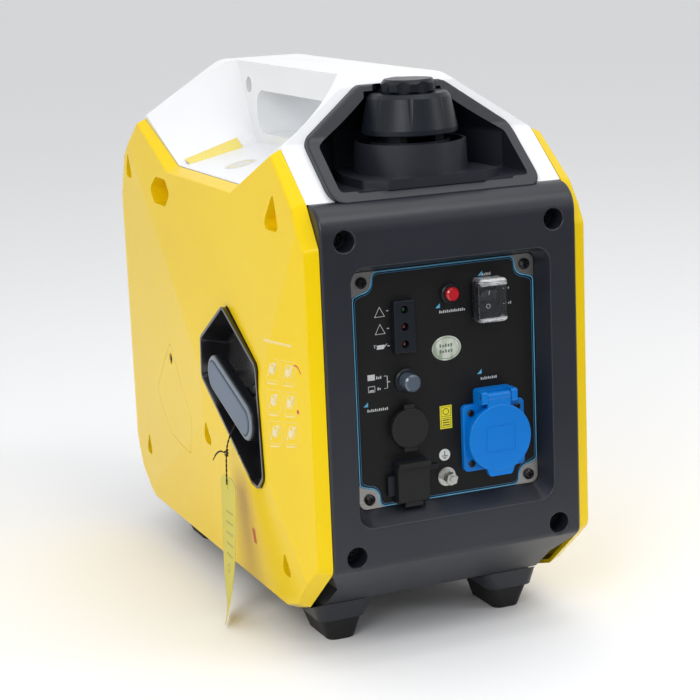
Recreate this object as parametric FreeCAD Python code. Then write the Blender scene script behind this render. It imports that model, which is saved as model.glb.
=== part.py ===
"""Portable inverter generator with moulded covers, a carrying handle, a recoil starter and a socket panel.

Millimetres, +Z up, +Y to the rear, +X to the right hand of someone who faces the panel.
Pieces are laid out from the front face (y = 0) and from the floor (z = 0). save() then moves
each one back by half the length, so that the origin lies on the floor under the middle.
"""
import FreeCAD, Part
import math
import os

V = FreeCAD.Vector

# ---------------------------------------------------------------- driving dimensions
LENGTH = 450.0            # front bezel face to rear bezel face
WIDTH = 240.0             # over the crests of the two side covers
HEIGHT = 417.0            # floor to the top of the carrying handle
WALL = 3.0                # thickness of the moulded shells
SEAM_GAP = 0.4            # gap between neighbouring mouldings
RUN = 0.05                # radial clearance of a running fit
COVER_SWELL = 20.0        # how far a side cover stands out from its seam
PANEL_DEPTH = 14.7        # control panel behind the front face
AC_SOCKET_RADIUS = 19.5   # bore of the mains socket
DC_SOCKET_RADIUS = 10.5   # bore of the 12 V socket
CAP_RADIUS = 35.0         # fuel cap at its skirt
CAP_Y = 64.0              # fuel cap axis behind the front face
CRANK_Y = 232.0           # crankshaft axis
CRANK_Z = 150.0
FLYWHEEL_RADIUS = 60.0
TAILPIPE_RADIUS = 11.0

# ---------------------------------------------------------------- places worked out from them
SEAM = WIDTH / 2 - COVER_SWELL
HALF_END = SEAM - SEAM_GAP / 2
CREST = WIDTH / 2
VALLEY_Z = HEIGHT - 80.0
PEAK_Z = HEIGHT - 45.0
SHOULDER_Y = 22.0
PEAK_Y = 66.0
VALLEY_Y = 150.0
DRAFT = 0.42
TRAY_Z = 27.0


# ---------------------------------------------------------------- drawing helpers
def on_yz(x):
    return lambda u, v: V(x, u, v)


def on_xz(y):
    return lambda u, v: V(u, y, v)


def on_xy(z):
    return lambda u, v: V(u, v, z)


def inset(points, distance):
    """The outline moved inwards by distance, with its corners mitred. Points run anticlockwise."""
    moved = []
    count = len(points)
    for i in range(count):
        u0, v0 = points[i - 1]
        u1, v1 = points[i]
        u2, v2 = points[(i + 1) % count]
        d1 = V(u1 - u0, v1 - v0, 0).normalize()
        d2 = V(u2 - u1, v2 - v1, 0).normalize()
        n1 = V(-d1.y, d1.x, 0)
        n2 = V(-d2.y, d2.x, 0)
        shift = (n1 + n2) * (distance / (1 + n1.dot(n2)))
        moved.append((u1 + shift.x, v1 + shift.y))
    return moved


def outline(points, radii, place):
    """A closed wire of straight runs with a tangent arc of the given radius at each corner."""
    count = len(points)
    if not isinstance(radii, (list, tuple)):
        radii = [radii] * count
    corners = []
    for i, (u, v) in enumerate(points):
        before = V(points[i - 1][0] - u, points[i - 1][1] - v, 0).normalize()
        after = V(points[(i + 1) % count][0] - u, points[(i + 1) % count][1] - v, 0).normalize()
        half = before.getAngle(after) / 2
        corner = V(u, v, 0)
        if radii[i] <= 0:
            corners.append((corner, corner, corner))
            continue
        reach = radii[i] / math.tan(half)
        middle = (before + after).normalize() * (radii[i] / math.sin(half) - radii[i])
        corners.append((corner + before * reach, corner + middle, corner + after * reach))
    edges = []
    for i, (start, middle, end) in enumerate(corners):
        if radii[i] > 0:
            edges.append(Part.Arc(place(start.x, start.y), place(middle.x, middle.y),
                                  place(end.x, end.y)).toShape())
        following = corners[(i + 1) % count][0]
        edges.append(Part.LineSegment(place(end.x, end.y), place(following.x, following.y)).toShape())
    return Part.Wire(edges)


def extrude(wire, x=0.0, y=0.0, z=0.0):
    return Part.Face(wire).extrude(V(x, y, z))


def slab_x(points, radii, x0, x1):
    return extrude(outline(points, radii, on_yz(x0)), x=x1 - x0)


def slab_y(points, radii, y0, y1):
    return extrude(outline(points, radii, on_xz(y0)), y=y1 - y0)


def slab_z(points, radii, z0, z1):
    return extrude(outline(points, radii, on_xy(z0)), z=z1 - z0)


def loft(first, second):
    return Part.makeLoft([first, second], True, True)


def rectangle(u0, u1, v0, v1):
    return [(u0, v0), (u1, v0), (u1, v1), (u0, v1)]


def box(x0, x1, y0, y1, z0, z1):
    return Part.makeBox(x1 - x0, y1 - y0, z1 - z0, V(x0, y0, z0))


def rod(radius, start, end):
    start, end = V(*start), V(*end)
    return Part.makeCylinder(radius, (end - start).Length, start, end - start)


def taper(radius0, radius1, start, end):
    start, end = V(*start), V(*end)
    return Part.makeCone(radius0, radius1, (end - start).Length, start, end - start)


def turned(profile, start, direction):
    """A solid of revolution. The profile is (distance along the axis, radius) from one end to the other."""
    points = [V(r, 0, d) for d, r in profile]
    face = Part.Face(Part.makePolygon(points + [points[0]]))
    solid = face.revolve(V(0, 0, 0), V(0, 0, 1), 360)
    solid.Placement = FreeCAD.Placement(V(*start), FreeCAD.Rotation(V(0, 0, 1), V(*direction)))
    return solid


def ring(outer, inner, start, end):
    return rod(outer, start, end).cut(rod(inner, start, end))


def fuse(first, *others):
    return first.fuse(list(others)).removeSplitter()


def soften(shape, radius, chosen):
    """Rounds the edges that chosen(edge's middle point) picks out."""
    edges = [e for e in shape.Edges if chosen(e.valueAt((e.FirstParameter + e.LastParameter) / 2))]
    return shape.makeFillet(radius, edges)


def mirrored(shape):
    return shape.mirror(V(0, 0, 0), V(1, 0, 0))


def end_for_end(shape):
    return shape.mirror(V(0, LENGTH / 2, 0), V(0, 1, 0))


def save(name, *shapes):
    solids = []
    for shape in shapes:
        solids += shape.Solids
    whole = solids[0] if len(solids) == 1 else Part.makeCompound(solids)
    whole.translate(V(0, -LENGTH / 2, 0))
    whole.exportStep("parts/" + name + ".step")
    bad = [i for i, s in enumerate(solids) if not s.isValid()]
    print(f"{name:22s} {len(solids):3d} solids {sum(s.Volume for s in solids) / 1000:9.1f} cm3", bad or "")


os.makedirs("parts", exist_ok=True)

# ---------------------------------------------------------------- side covers
CREST_Y = (90.0, LENGTH - 235.0)   # the flat crest that the four facets rise to
CREST_Z = (140.0, HEIGHT - 232.0)
FRONT_FALL = 0.118
REAR_FALL = 0.054
TOP_FALL = 0.065
BOTTOM_FALL = 0.10


def side_outline():
    """The cover's seam line, seen from the right, anticlockwise from the chin."""
    back = LENGTH
    return [(50, 35), (75, TRAY_Z), (back - 55, TRAY_Z + 2), (back - 18, 49), (back - 2, 77),
            (back - 4, VALLEY_Z - 37), (back - SHOULDER_Y, VALLEY_Z + 1), (back - PEAK_Y, PEAK_Z - 2),
            (back - VALLEY_Y, VALLEY_Z), (VALLEY_Y, VALLEY_Z), (PEAK_Y, PEAK_Z),
            (SHOULDER_Y, VALLEY_Z + 1), (2, VALLEY_Z - 29), (2, 75)]


SIDE_CORNERS = [9, 9, 16, 16, 20, 14, 8, 3.5, 8, 8, 3.5, 6, 6, 10]


def cover_form(skin):
    """The right cover's outer body, or the hollow inside it when skin is the wall thickness."""
    near = SEAM + SEAM_GAP / 2 - (1.0 if skin else 0.0)
    far = CREST + 1.0
    wires = [outline(inset(side_outline(), skin + (x - SEAM) * DRAFT), SIDE_CORNERS, on_yz(x)) for x in (near, far)]
    body = loft(*wires)
    top = CREST - skin
    margin = 60.0
    y0, y1 = CREST_Y
    z0, z1 = CREST_Z
    roof_along = [(y0, top), (-margin, top - (y0 + margin) * FRONT_FALL), (-margin, SEAM / 2),
                  (LENGTH + margin, SEAM / 2), (LENGTH + margin, top - (LENGTH + margin - y1) * REAR_FALL), (y1, top)]
    roof_across = [(z0, top), (-margin, top - (z0 + margin) * BOTTOM_FALL), (-margin, SEAM / 2),
                   (HEIGHT + margin, SEAM / 2), (HEIGHT + margin, top - (HEIGHT + margin - z1) * TOP_FALL), (z1, top)]
    body = body.common(extrude(outline(roof_along, 0, lambda u, v: V(v, u, -margin)), z=HEIGHT + 2 * margin))
    body = body.common(extrude(outline(roof_across, 0, lambda u, v: V(v, -margin, u)), y=LENGTH + 2 * margin))
    return body


def crest_height(y, z):
    """How far out the cover's outer face lies at a point."""
    return CREST - max(0.0, (CREST_Y[0] - y) * FRONT_FALL, (y - CREST_Y[1]) * REAR_FALL,
                       (CREST_Z[0] - z) * BOTTOM_FALL, (z - CREST_Z[1]) * TOP_FALL)


def triangle(y, z, half_width, low, high, lean=0.0):
    return [(y - half_width, z - low), (y + half_width, z - low), (y + lean, z + high)]


def elongated_hexagon(y, z, half_long, half_tall):
    return [(y - half_long * 0.55, z - half_tall), (y + half_long * 0.5, z - half_tall), (y + half_long, z),
            (y + half_long * 0.4, z + half_tall), (y - half_long * 0.5, z + half_tall), (y - half_long, z)]


FRONT_SLOT = (triangle(64, VALLEY_Z - 9, 17, 13, 14, -3), [5, 5, 2.5], 8.2)
REAR_SLOT = (triangle(LENGTH - 38, VALLEY_Z - 10, 11, 10, 13), [4, 4, 2.5], 7.0)
HANDLE_SLOT = (elongated_hexagon(LENGTH - 130, VALLEY_Z - 22, 27, 11), [5] * 6, 18.0)
LOWER_SLOT = (triangle(209, 134, 11, 9, 12), [5, 5, 2.5], 14.0)
LOW_FRONT_SLOT = (triangle(64, 66, 10, 9, 11), [4, 4, 2.5], 9.5)
LOW_REAR_SLOT = (triangle(LENGTH - 50, 80, 10, 9, 11), [4, 4, 2.5], 7.0)
SCREW_SLOTS = [FRONT_SLOT, REAR_SLOT, LOWER_SLOT, LOW_FRONT_SLOT, LOW_REAR_SLOT]


def slot_centre(slot):
    points = slot[0]
    return (sum(p[0] for p in points) / len(points), sum(p[1] for p in points) / len(points))


def sink(cover, slot):
    """Sinks a screw slot into the cover: a cup with a floor that is drilled for its fastener."""
    points, radii, depth = slot
    y, z = slot_centre(slot)
    face = crest_height(y, z)
    floor = face - depth
    cup = slab_x(inset(points, -2.2), [r + 2.2 for r in radii], floor - 2.2, face - 1.0)
    hollow = slab_x(points, radii, floor, CREST + 5)
    drill = rod(2.6, (floor - 5, y, z), (floor + 1, y, z))
    return fuse(cover, cup).cut(hollow).cut(drill)


def drilled_for_cover_screws(shape):
    """Clears the way of the side covers' screws through a moulding behind them, on both sides."""
    for slot in SCREW_SLOTS:
        y, z = slot_centre(slot)
        for side in (-1, 1):
            shape = shape.cut(rod(2.6, (side * (SEAM - 14), y, z), (side * (SEAM + 2), y, z)))
    return shape


def soften_rim(shape, radius):
    """Rounds the long edge where the cover's drafted rim meets its facets."""
    chosen = []
    faces = [f for f in shape.Faces]
    for edge in shape.Edges:
        middle = edge.valueAt((edge.FirstParameter + edge.LastParameter) / 2)
        if middle.x > SEAM + 4 and edge.Length > 1.0:
            owners = [f for f in faces if any(e.isSame(edge) for e in f.Edges)]
            flat = [f for f in owners if abs(f.normalAt(0, 0).x) > 0.9]
            if len(flat) == 1:
                chosen.append(edge)
    return shape.makeFillet(radius, chosen)


# ---------------------------------------------------------------- starter recess
RECESS = [(94, 117), (107, 118.5), (212.5, 180), (210, 213), (154, 247), (85.6, 213), (81, 128)]
RECESS_CORNERS = [7, 5, 7, 9, 6, 9, 9]
RECESS_FLOOR = SEAM - 1.0
LIP = 2.4
GRIP_Y = 138.0
GRIP_Z = 179.0
GRIP_TILT = 20.0
GRIP_LENGTH = 98.0
GRIP_WIDTH = 30.0
GRIP_FACE = CREST + 4.5


def starter_recess():
    """The black bucket behind the grip. Its lip lines the hole in the left cover."""
    rim = inset(RECESS, SEAM_GAP / 2)
    mouth = inset(RECESS, LIP)
    floor = inset(RECESS, LIP + 5)
    inner_radii = [max(2.0, r - 3) for r in RECESS_CORNERS]
    outer = loft(outline(rim, RECESS_CORNERS, on_yz(-CREST - 0.6)),
                 outline(inset(floor, -2.2), RECESS_CORNERS, on_yz(-RECESS_FLOOR + 2.2)))
    hollow = loft(outline(mouth, inner_radii, on_yz(-CREST - 0.7)),
                  outline(floor, inner_radii, on_yz(-RECESS_FLOOR)))
    bucket = outer.cut(hollow)
    for y, z in ((156, 224), (168, 168), (98, 140)):
        bucket = fuse(bucket, rod(7, (-RECESS_FLOOR + 0.1, y, z), (-RECESS_FLOOR - 4, y, z)))
        bucket = bucket.cut(rod(4.2, (-RECESS_FLOOR - 1.5, y, z), (-RECESS_FLOOR - 5, y, z)))
    guide_hole = rod(ROPE_GUIDE_RADIUS, (-RECESS_FLOOR - 1, GRIP_Y, GRIP_Z), (-RECESS_FLOOR + 4, GRIP_Y, GRIP_Z))
    return bucket.cut(guide_hole)


ROPE_RADIUS = 2.2
ROPE_GUIDE_RADIUS = 7.0


def rope_guide():
    profile = [(0, ROPE_RADIUS + 1.2), (0, ROPE_GUIDE_RADIUS - RUN), (4, ROPE_GUIDE_RADIUS - RUN), (4, 9.5), (6, 9.5),
               (7, 6.5), (7, 4.5), (5, ROPE_RADIUS + 1.2)]
    return turned(profile, (-RECESS_FLOOR + 4, GRIP_Y, GRIP_Z), (-1, 0, 0))


def tilted(shape):
    """Turns a piece drawn level about the grip's middle to the grip's slant."""
    shape.rotate(V(0, GRIP_Y, GRIP_Z), V(1, 0, 0), GRIP_TILT)
    return shape


def grip_slab(length, width, x0, x1, radius):
    points = rectangle(GRIP_Y - length / 2, GRIP_Y + length / 2, GRIP_Z - width / 2, GRIP_Z + width / 2)
    return slab_x(points, radius, x0, x1)


def starter_grip():
    body = grip_slab(GRIP_LENGTH, GRIP_WIDTH, -GRIP_FACE, -GRIP_FACE + 11, GRIP_WIDTH / 2 - 0.05)
    body = soften(body, 3.2, lambda p: p.x < -GRIP_FACE + 0.01)
    body = soften(body, 4.0, lambda p: p.x > -GRIP_FACE + 10.99)
    seat = grip_slab(GRIP_LENGTH - 9, GRIP_WIDTH - 9, -GRIP_FACE - 1, -GRIP_FACE + 1.6, GRIP_WIDTH / 2 - 4.6)
    neck = turned([(0, 0.0), (0, 9.0), (6, 6.0), (6, 0.0)], (-GRIP_FACE + 10.5, GRIP_Y, GRIP_Z), (1, 0, 0))
    body = fuse(body, neck).cut(seat)
    return tilted(body)


def grip_insert():
    pad = grip_slab(GRIP_LENGTH - 9.8, GRIP_WIDTH - 9.8, -GRIP_FACE - 1.0, -GRIP_FACE + 1.6, GRIP_WIDTH / 2 - 5.0)
    return tilted(soften(pad, 1.2, lambda p: p.x < -GRIP_FACE - 0.99))


def starter_rope():
    """The short stretch of rope between the recoil pulley's guide and the grip's neck."""
    return rod(ROPE_RADIUS, (-GRIP_FACE + 16.5, GRIP_Y, GRIP_Z), (-RECESS_FLOOR + 6, GRIP_Y, GRIP_Z))


# ---------------------------------------------------------------- maintenance cover in the left cover
MAINTENANCE = [(262, 104), (318, 108), (361, 138), (322, 176), (306, 190), (292, 176), (249, 134)]
MAINTENANCE_CORNERS = [6, 14, 10, 12, 4, 12, 10]


def maintenance_cover(shell):
    plate = slab_x(inset(MAINTENANCE, SEAM_GAP), MAINTENANCE_CORNERS, SEAM, CREST + 5)
    screw_hole = rod(4.6, (SEAM, 306, 176), (CREST + 5, 306, 176))
    return shell.common(plate).cut(screw_hole)


def maintenance_opening(cover):
    """Opens the cover and leaves a ledge behind the opening for the plate to lie on."""
    cover = cover.cut(slab_x(MAINTENANCE, MAINTENANCE_CORNERS, SEAM, CREST + 5))
    ledge_ring = slab_x(inset(MAINTENANCE, -5), MAINTENANCE_CORNERS, SEAM, CREST + 5).cut(
        slab_x(inset(MAINTENANCE, 5), [4] * 7, SEAM - 1, CREST + 6))
    ledge_ring = fuse(ledge_ring, rod(8, (SEAM, 306, 176), (CREST, 306, 176)))
    ledge = cover_form(WALL).cut(cover_form(WALL + 2.5)).common(ledge_ring)
    return fuse(cover, ledge).cut(rod(2.1, (SEAM, 306, 176), (CREST, 306, 176)))


# ---------------------------------------------------------------- fuel, choke and run dial in the right cover
DIAL_Y = 160.0
DIAL_Z = 175.0
DIAL_RADIUS = 24.0


def dial_pocket(cover):
    cup = rod(DIAL_RADIUS + 7, (SEAM + 1, DIAL_Y, DIAL_Z), (CREST - 1, DIAL_Y, DIAL_Z))
    hollow = rod(DIAL_RADIUS + 4, (SEAM + 4, DIAL_Y, DIAL_Z), (CREST + 5, DIAL_Y, DIAL_Z))
    bore = rod(4.0 + RUN, (SEAM - 2, DIAL_Y, DIAL_Z), (CREST, DIAL_Y, DIAL_Z))
    return fuse(cover, cup).cut(hollow).cut(bore)


def fuel_dial():
    disc = turned([(0, 0.0), (0, DIAL_RADIUS), (9, DIAL_RADIUS), (11, DIAL_RADIUS - 2), (11, 0.0)],
                  (SEAM + 4.5, DIAL_Y, DIAL_Z), (1, 0, 0))
    for step in range(24):
        angle = math.radians(step * 15)
        y = DIAL_Y + (DIAL_RADIUS + 0.6) * math.cos(angle)
        z = DIAL_Z + (DIAL_RADIUS + 0.6) * math.sin(angle)
        disc = disc.cut(rod(1.4, (SEAM + 3, y, z), (SEAM + 18, y, z)))
    blade = slab_x(rectangle(DIAL_Y - DIAL_RADIUS + 4, DIAL_Y + DIAL_RADIUS - 3, DIAL_Z - 5, DIAL_Z + 5), 4.9,
                   SEAM + 15, CREST + 5.5)
    spindle = rod(4.0, (SEAM - 22, DIAL_Y, DIAL_Z), (SEAM + 5, DIAL_Y, DIAL_Z))
    return fuse(disc, blade, spindle)


# ---------------------------------------------------------------- front and rear bezels
def end_profile(chin, skin):
    """Side view of an end moulding, d behind its own face. The hollow form runs out of the open back."""
    back = 44.0
    points = [(0.0, VALLEY_Z), (0.0, chin[0][1])] + chin[1:] + [(chin[-1][0], chin[-1][1] + 32), (back, VALLEY_Z - 120),
                                                               (back, VALLEY_Z)]
    if not skin:
        return points
    inner = inset(points, skin)
    rear = len(inner) - 3
    for i in range(rear, rear + 3):
        d, z = inner[i]
        inner[i] = (d + skin + 3.0, z)
    return inner


def end_form(chin, skin):
    profile = end_profile(chin, skin)
    radii = [20.0 - skin, 6.0] + [6.0] * (len(chin) - 2) + [0] * (len(profile) - len(chin))
    side = slab_x(profile, radii, -HALF_END + skin, HALF_END - skin)
    corner = [(-HALF_END, 72), (-HALF_END + 12, 54), (-HALF_END + 12, 10), (HALF_END - 12, 10),
              (HALF_END - 12, 54), (HALF_END, 72), (HALF_END, HEIGHT), (-HALF_END, HEIGHT)]
    return side.common(slab_y(inset(corner, skin), 0, -5, LENGTH / 2))


FRONT_CHIN = [(0.0, 75.0), (50.0, 35.0), (70.0, TRAY_Z)]
REAR_CHIN = [(0.0, 77.0), (16.0, 49.0), (53.0, TRAY_Z + 2)]
MOUTH = rectangle(-78.5, 78.5, 103.5, 292.5)
PLATE = rectangle(-72.8, 72.8, 113.6, 287.4)
POCKET_RADIUS = 7.6
POCKET_DEPTH = 17.0


def screw_pockets(chin):
    """Where the four screws of a bezel sit: just above its chin and just below its shoulder."""
    return [(x, z) for x in (-81.8, 81.8) for z in (chin[0][1] + 9.3, VALLEY_Z - 24.7)]


def end_moulding(chin):
    """A bezel as a thin shell with a stepped well for a plate and four deep screw pockets."""
    shell = end_form(chin, 0.0).cut(end_form(chin, WALL))
    shell = soften(shell, 2.4, lambda p: abs(abs(p.x) - HALF_END) < 0.01 and p.y < 0.01 and 90 < p.z < 300)
    seat = PANEL_DEPTH + 2.4
    well = loft(outline(inset(MOUTH, -WALL), 15, on_xz(1.0)), outline(inset(PLATE, -WALL), 9, on_xz(seat)))
    well = fuse(well, slab_y(inset(PLATE, -WALL), 9, seat, seat + WALL))
    bosses = [rod(POCKET_RADIUS + 2.6, (x, 1, z), (x, POCKET_DEPTH + 2.5, z)) for x, z in screw_pockets(chin)]
    shell = fuse(shell, well, *bosses)
    slope = (PLATE[1][0] - MOUTH[1][0]) / PANEL_DEPTH
    mouth = loft(outline(inset(MOUTH, slope * 1.0), 12, on_xz(-1.0)), outline(PLATE, 6, on_xz(PANEL_DEPTH)))
    seat_hole = slab_y(PLATE, 6, PANEL_DEPTH - 0.5, seat)
    tall = slab_y(rectangle(-54, 54, PLATE[0][1] + 5, PLATE[2][1] - 5), 6, seat - 1, seat + WALL + 2)
    broad = slab_y(rectangle(PLATE[0][0] + 5, PLATE[1][0] - 5, PLATE[0][1] + 18, PLATE[2][1] - 19), 6, seat - 1,
                   seat + WALL + 2)
    shell = shell.cut(mouth).cut(seat_hole).cut(tall).cut(broad)
    for x, z in screw_pockets(chin):
        shell = shell.cut(rod(POCKET_RADIUS, (x, -1, z), (x, POCKET_DEPTH, z)))
        shell = shell.cut(rod(2.4, (x, POCKET_DEPTH - 1, z), (x, POCKET_DEPTH + 5, z)))
    for x, z in PANEL_SCREWS:
        shell = shell.cut(rod(1.6, (x, seat - 1, z), (x, seat + WALL + 1, z)))
    shell = soften(shell, 1.3, lambda p: abs(p.y) < 0.01 and abs(p.x) < 90.1 and 80 < p.z < VALLEY_Z - 5
                   and (abs(p.x) < 79 or abs(p.x) > 74) and not abs(p.x) > HALF_END - 2.5)
    return shell


PANEL_SCREWS = [(x, z) for x in (-64.5, 64.5) for z in (121.0, 279.4)]


# ---------------------------------------------------------------- top cover and fuel filler surround
HOOD_TOP_Y = 84.0
RIDGE_HALF = 36.0
GRIP_BAR_HALF = 32.0


def hood_form(skin):
    """The whole top before its side scoops are taken out, or the hollow inside it."""
    back = LENGTH
    side = [(SHOULDER_Y, VALLEY_Z), (back - SHOULDER_Y, VALLEY_Z), (back - PEAK_Y, PEAK_Z), (back - HOOD_TOP_Y, HEIGHT),
            (HOOD_TOP_Y, HEIGHT), (PEAK_Y, PEAK_Z)]
    section = [(-HALF_END, VALLEY_Z), (HALF_END, VALLEY_Z), (HALF_END, PEAK_Z), (RIDGE_HALF, HEIGHT),
               (-RIDGE_HALF, HEIGHT), (-HALF_END, PEAK_Z)]
    side, section = inset(side, skin), inset(section, skin)
    drop = 4.0 if skin else 0.0
    for points in (side, section):
        for i in (0, 1):
            points[i] = (points[i][0], points[i][1] - drop)
    long_way = slab_x(side, [0, 0, 10, 12, 12, 10], -HALF_END - 1, HALF_END + 1)
    across = slab_y(section, [0, 0, 4, 14, 14, 4], 0, LENGTH)
    return long_way.common(across)


def scoop(side, grow):
    """The hollow beside the handle: outer and inner outlines joined by straight-ruled walls."""
    floor_out, floor_in = VALLEY_Z, VALLEY_Z + 15
    outer_slope = (VALLEY_Y - PEAK_Y) / (PEAK_Z - VALLEY_Z)
    inner_slope = 0.5
    tall = 90.0

    def points(floor, slope, mouth):
        low = [(mouth, floor), (LENGTH - mouth, floor)]
        high = [(LENGTH - mouth + slope * tall, floor + tall), (mouth - slope * tall, floor + tall)]
        return inset(low + high, -grow)

    outer = outline(points(floor_out, outer_slope, VALLEY_Y), [14, 14, 0, 0], on_yz(side * (HALF_END + 3)))
    inner = outline(points(floor_in, inner_slope, VALLEY_Y), [14, 14, 0, 0], on_yz(side * (GRIP_BAR_HALF - grow)))
    return loft(outer, inner)


HANDLE_BOLT = (LENGTH - 141.0, HEIGHT - 19.0)
FINGER_HOLE = rectangle(VALLEY_Y - 8, LENGTH - VALLEY_Y - 8, HEIGHT - 57, HEIGHT - 22)


def finger_hole(grow):
    return slab_x(inset(FINGER_HOLE, -grow), 14 + grow, -HALF_END, HALF_END)


SURROUND = [(-82, VALLEY_Z - 2), (82, VALLEY_Z - 2), (82, PEAK_Z + 4), (34, HEIGHT - 6), (-34, HEIGHT - 6),
            (-82, PEAK_Z + 4)]
SURROUND_CORNERS = [10, 10, 12, 10, 10, 12]
SURROUND_PROUD = 5.0
SURROUND_BACK = CAP_Y + 46.0
SURROUND_TAPER_Y = 62.0


def hood_face(forward):
    """Everything behind the hood's slanted front, with that front moved forward by a distance."""
    slope = (PEAK_Z - VALLEY_Z) / (PEAK_Y - SHOULDER_Y)
    steep = (HEIGHT - PEAK_Z) / (HOOD_TOP_Y - PEAK_Y)
    face = [(SHOULDER_Y - 40, VALLEY_Z - 40 * slope), (LENGTH, VALLEY_Z - 40 * slope), (LENGTH, HEIGHT + 30),
            (HOOD_TOP_Y + 30 / steep, HEIGHT + 30), (PEAK_Y, PEAK_Z)]
    return slab_x(inset(face, -forward), [0, 0, 0, 0, 14], -HALF_END, HALF_END)


def surround_block(shrink):
    """The hexagonal block of the filler surround; behind the hood's face it narrows towards the back."""
    low, peak = SURROUND[0][1], SURROUND[2][1]
    top_half, top = SURROUND[3]
    back = [(-50, low), (50, low), (50, peak), (top_half, top), (-top_half, top), (-50, peak)]
    radii = [max(3, r - shrink) for r in SURROUND_CORNERS]
    straight = slab_y(inset(SURROUND, shrink), radii, 0, SURROUND_TAPER_Y)
    narrowing = loft(outline(inset(SURROUND, shrink), radii, on_xz(SURROUND_TAPER_Y)),
                     outline(inset(back, shrink), [3] * 6, on_xz(SURROUND_BACK - shrink * 0.3)))
    return straight.fuse(narrowing)


def surround_ring(grow):
    """The rim alone: a prism of the full hexagon that stands proud of the hood's face."""
    block = slab_y(inset(SURROUND, -grow), SURROUND_CORNERS, 0, SURROUND_BACK)
    return block.common(hood_face(SURROUND_PROUD + grow)).cut(hood_face(-WALL - 1 - grow))


def filler_surround():
    """The black hexagonal rim and the well behind it that the fuel cap stands in."""
    rim = soften(surround_ring(0.0), 1.5, on_surround_edge)
    liner = surround_block(5).common(hood_face(-1.0))
    step_z = SURROUND[0][1] + 8
    floor = slab_z([(-72, 30), (-60, 20), (60, 20), (72, 30), (72, 60), (44, SURROUND_BACK - 3),
                    (-44, SURROUND_BACK - 3), (-72, 60)], 0, step_z - 3, step_z)
    step = slab_z([(-54, 30), (-38, 19), (38, 19), (54, 30), (54, 64), (44, SURROUND_BACK - 4),
                   (-44, SURROUND_BACK - 4), (-54, 64)], 4, step_z - 1, step_z + 6)
    collar = taper(41.6, 40.6, (0, CAP_Y, step_z), (0, CAP_Y, CAP_LOW - 5))
    notch = rod(2.2, (-24, CAP_Y - 36, CAP_LOW - 5), (-30, CAP_Y - 45, CAP_LOW - 5))
    neck_hole = rod(NECK_RADIUS + 1.0, (0, CAP_Y, VALLEY_Z - 5), (0, CAP_Y, HEIGHT))
    body = fuse(rim, liner, surround_sill(0.0)).cut(surround_block(8).cut(box(-200, 200, 0, LENGTH, 0, step_z)))
    body = fuse(body, floor, step, collar).cut(collar_groove()).cut(notch).cut(neck_hole).cut(cap_headroom())
    body = body.cut(box(-200, 200, 0, LENGTH, 0, VALLEY_Z - 8))
    return body.cut(end_form(FRONT_CHIN, 0.0)).cut(box(-200, 200, SHOULDER_Y, LENGTH, 0, VALLEY_Z))


def surround_sill(grow):
    """The ledge at the foot of the rim that closes the well towards the front bezel."""
    return box(-78 - grow, 78 + grow, 18, 60 + grow, VALLEY_Z - 1 - grow, SURROUND[0][1] + 8 + grow).common(
        hood_face(0.5 + grow))


def collar_groove():
    """The ring-shaped gutter round the filler neck, inside the collar's thin wall."""
    low, high = CAP_LOW - 17, CAP_LOW
    return ring(38.2, NECK_RADIUS + 4.0, (0, CAP_Y, low), (0, CAP_Y, high))


def cap_headroom():
    """Room for the cap's crown under the well's ceiling, and for the vent knob above it."""
    crown = rod(CAP_RADIUS - 2.5, (0, CAP_Y, CAP_HIGH - 6), (0, CAP_Y, CAP_HIGH + 1.8))
    return crown.fuse(rod(KNOB_RADIUS + 1.5, (0, CAP_Y, CAP_HIGH), (0, CAP_Y, HEIGHT + 1)))


def on_surround_edge(p):
    """Is this point on the edge that runs round the proud front of the rim?"""
    face = hood_front_y(p.z) - SURROUND_PROUD
    return p.y < face + 2.5


def hood_front_y(z):
    """How far back the hood's slanted front lies at a height."""
    if z < PEAK_Z:
        return PEAK_Y - (PEAK_Z - z) * (PEAK_Y - SHOULDER_Y) / (PEAK_Z - VALLEY_Z)
    return PEAK_Y + (z - PEAK_Z) * (HOOD_TOP_Y - PEAK_Y) / (HEIGHT - PEAK_Z)


def surround_opening():
    opening = surround_ring(SEAM_GAP / 2).fuse(surround_block(5 - SEAM_GAP / 2))
    return fuse(opening, surround_sill(SEAM_GAP), cap_headroom())


def top_cover():
    """The white top: hoods at both ends, scoops at both sides and the carrying handle between them."""
    shell = hood_form(0.0)
    cavity = hood_form(WALL)
    for side in (-1, 1):
        shell = shell.cut(scoop(side, 0.0))
        cavity = cavity.cut(scoop(side, WALL))
    shell = shell.cut(finger_hole(0.0))
    cavity = cavity.cut(finger_hole(WALL))
    shell = shell.cut(cavity).cut(surround_opening())
    for side in (-1, 1):
        face = side * GRIP_BAR_HALF
        boss = rod(8.5, (face - side * 1, *HANDLE_BOLT), (face - side * 13, *HANDLE_BOLT))
        shell = fuse(shell, boss)
        shell = shell.cut(rod(6.5, (face + side * 30, *HANDLE_BOLT), (face - side * 11, *HANDLE_BOLT)))
        shell = shell.cut(rod(2.4, (face, *HANDLE_BOLT), (face - side * 14, *HANDLE_BOLT)))
    return drilled_for_cover_screws(shell)



# ---------------------------------------------------------------- fuel cap
CAP_LOW = HEIGHT - 41.0       # underside of the cap's skirt
CAP_HIGH = HEIGHT - 12.0
NECK_RADIUS = 25.0
KNOB_RADIUS = 20.0


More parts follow.
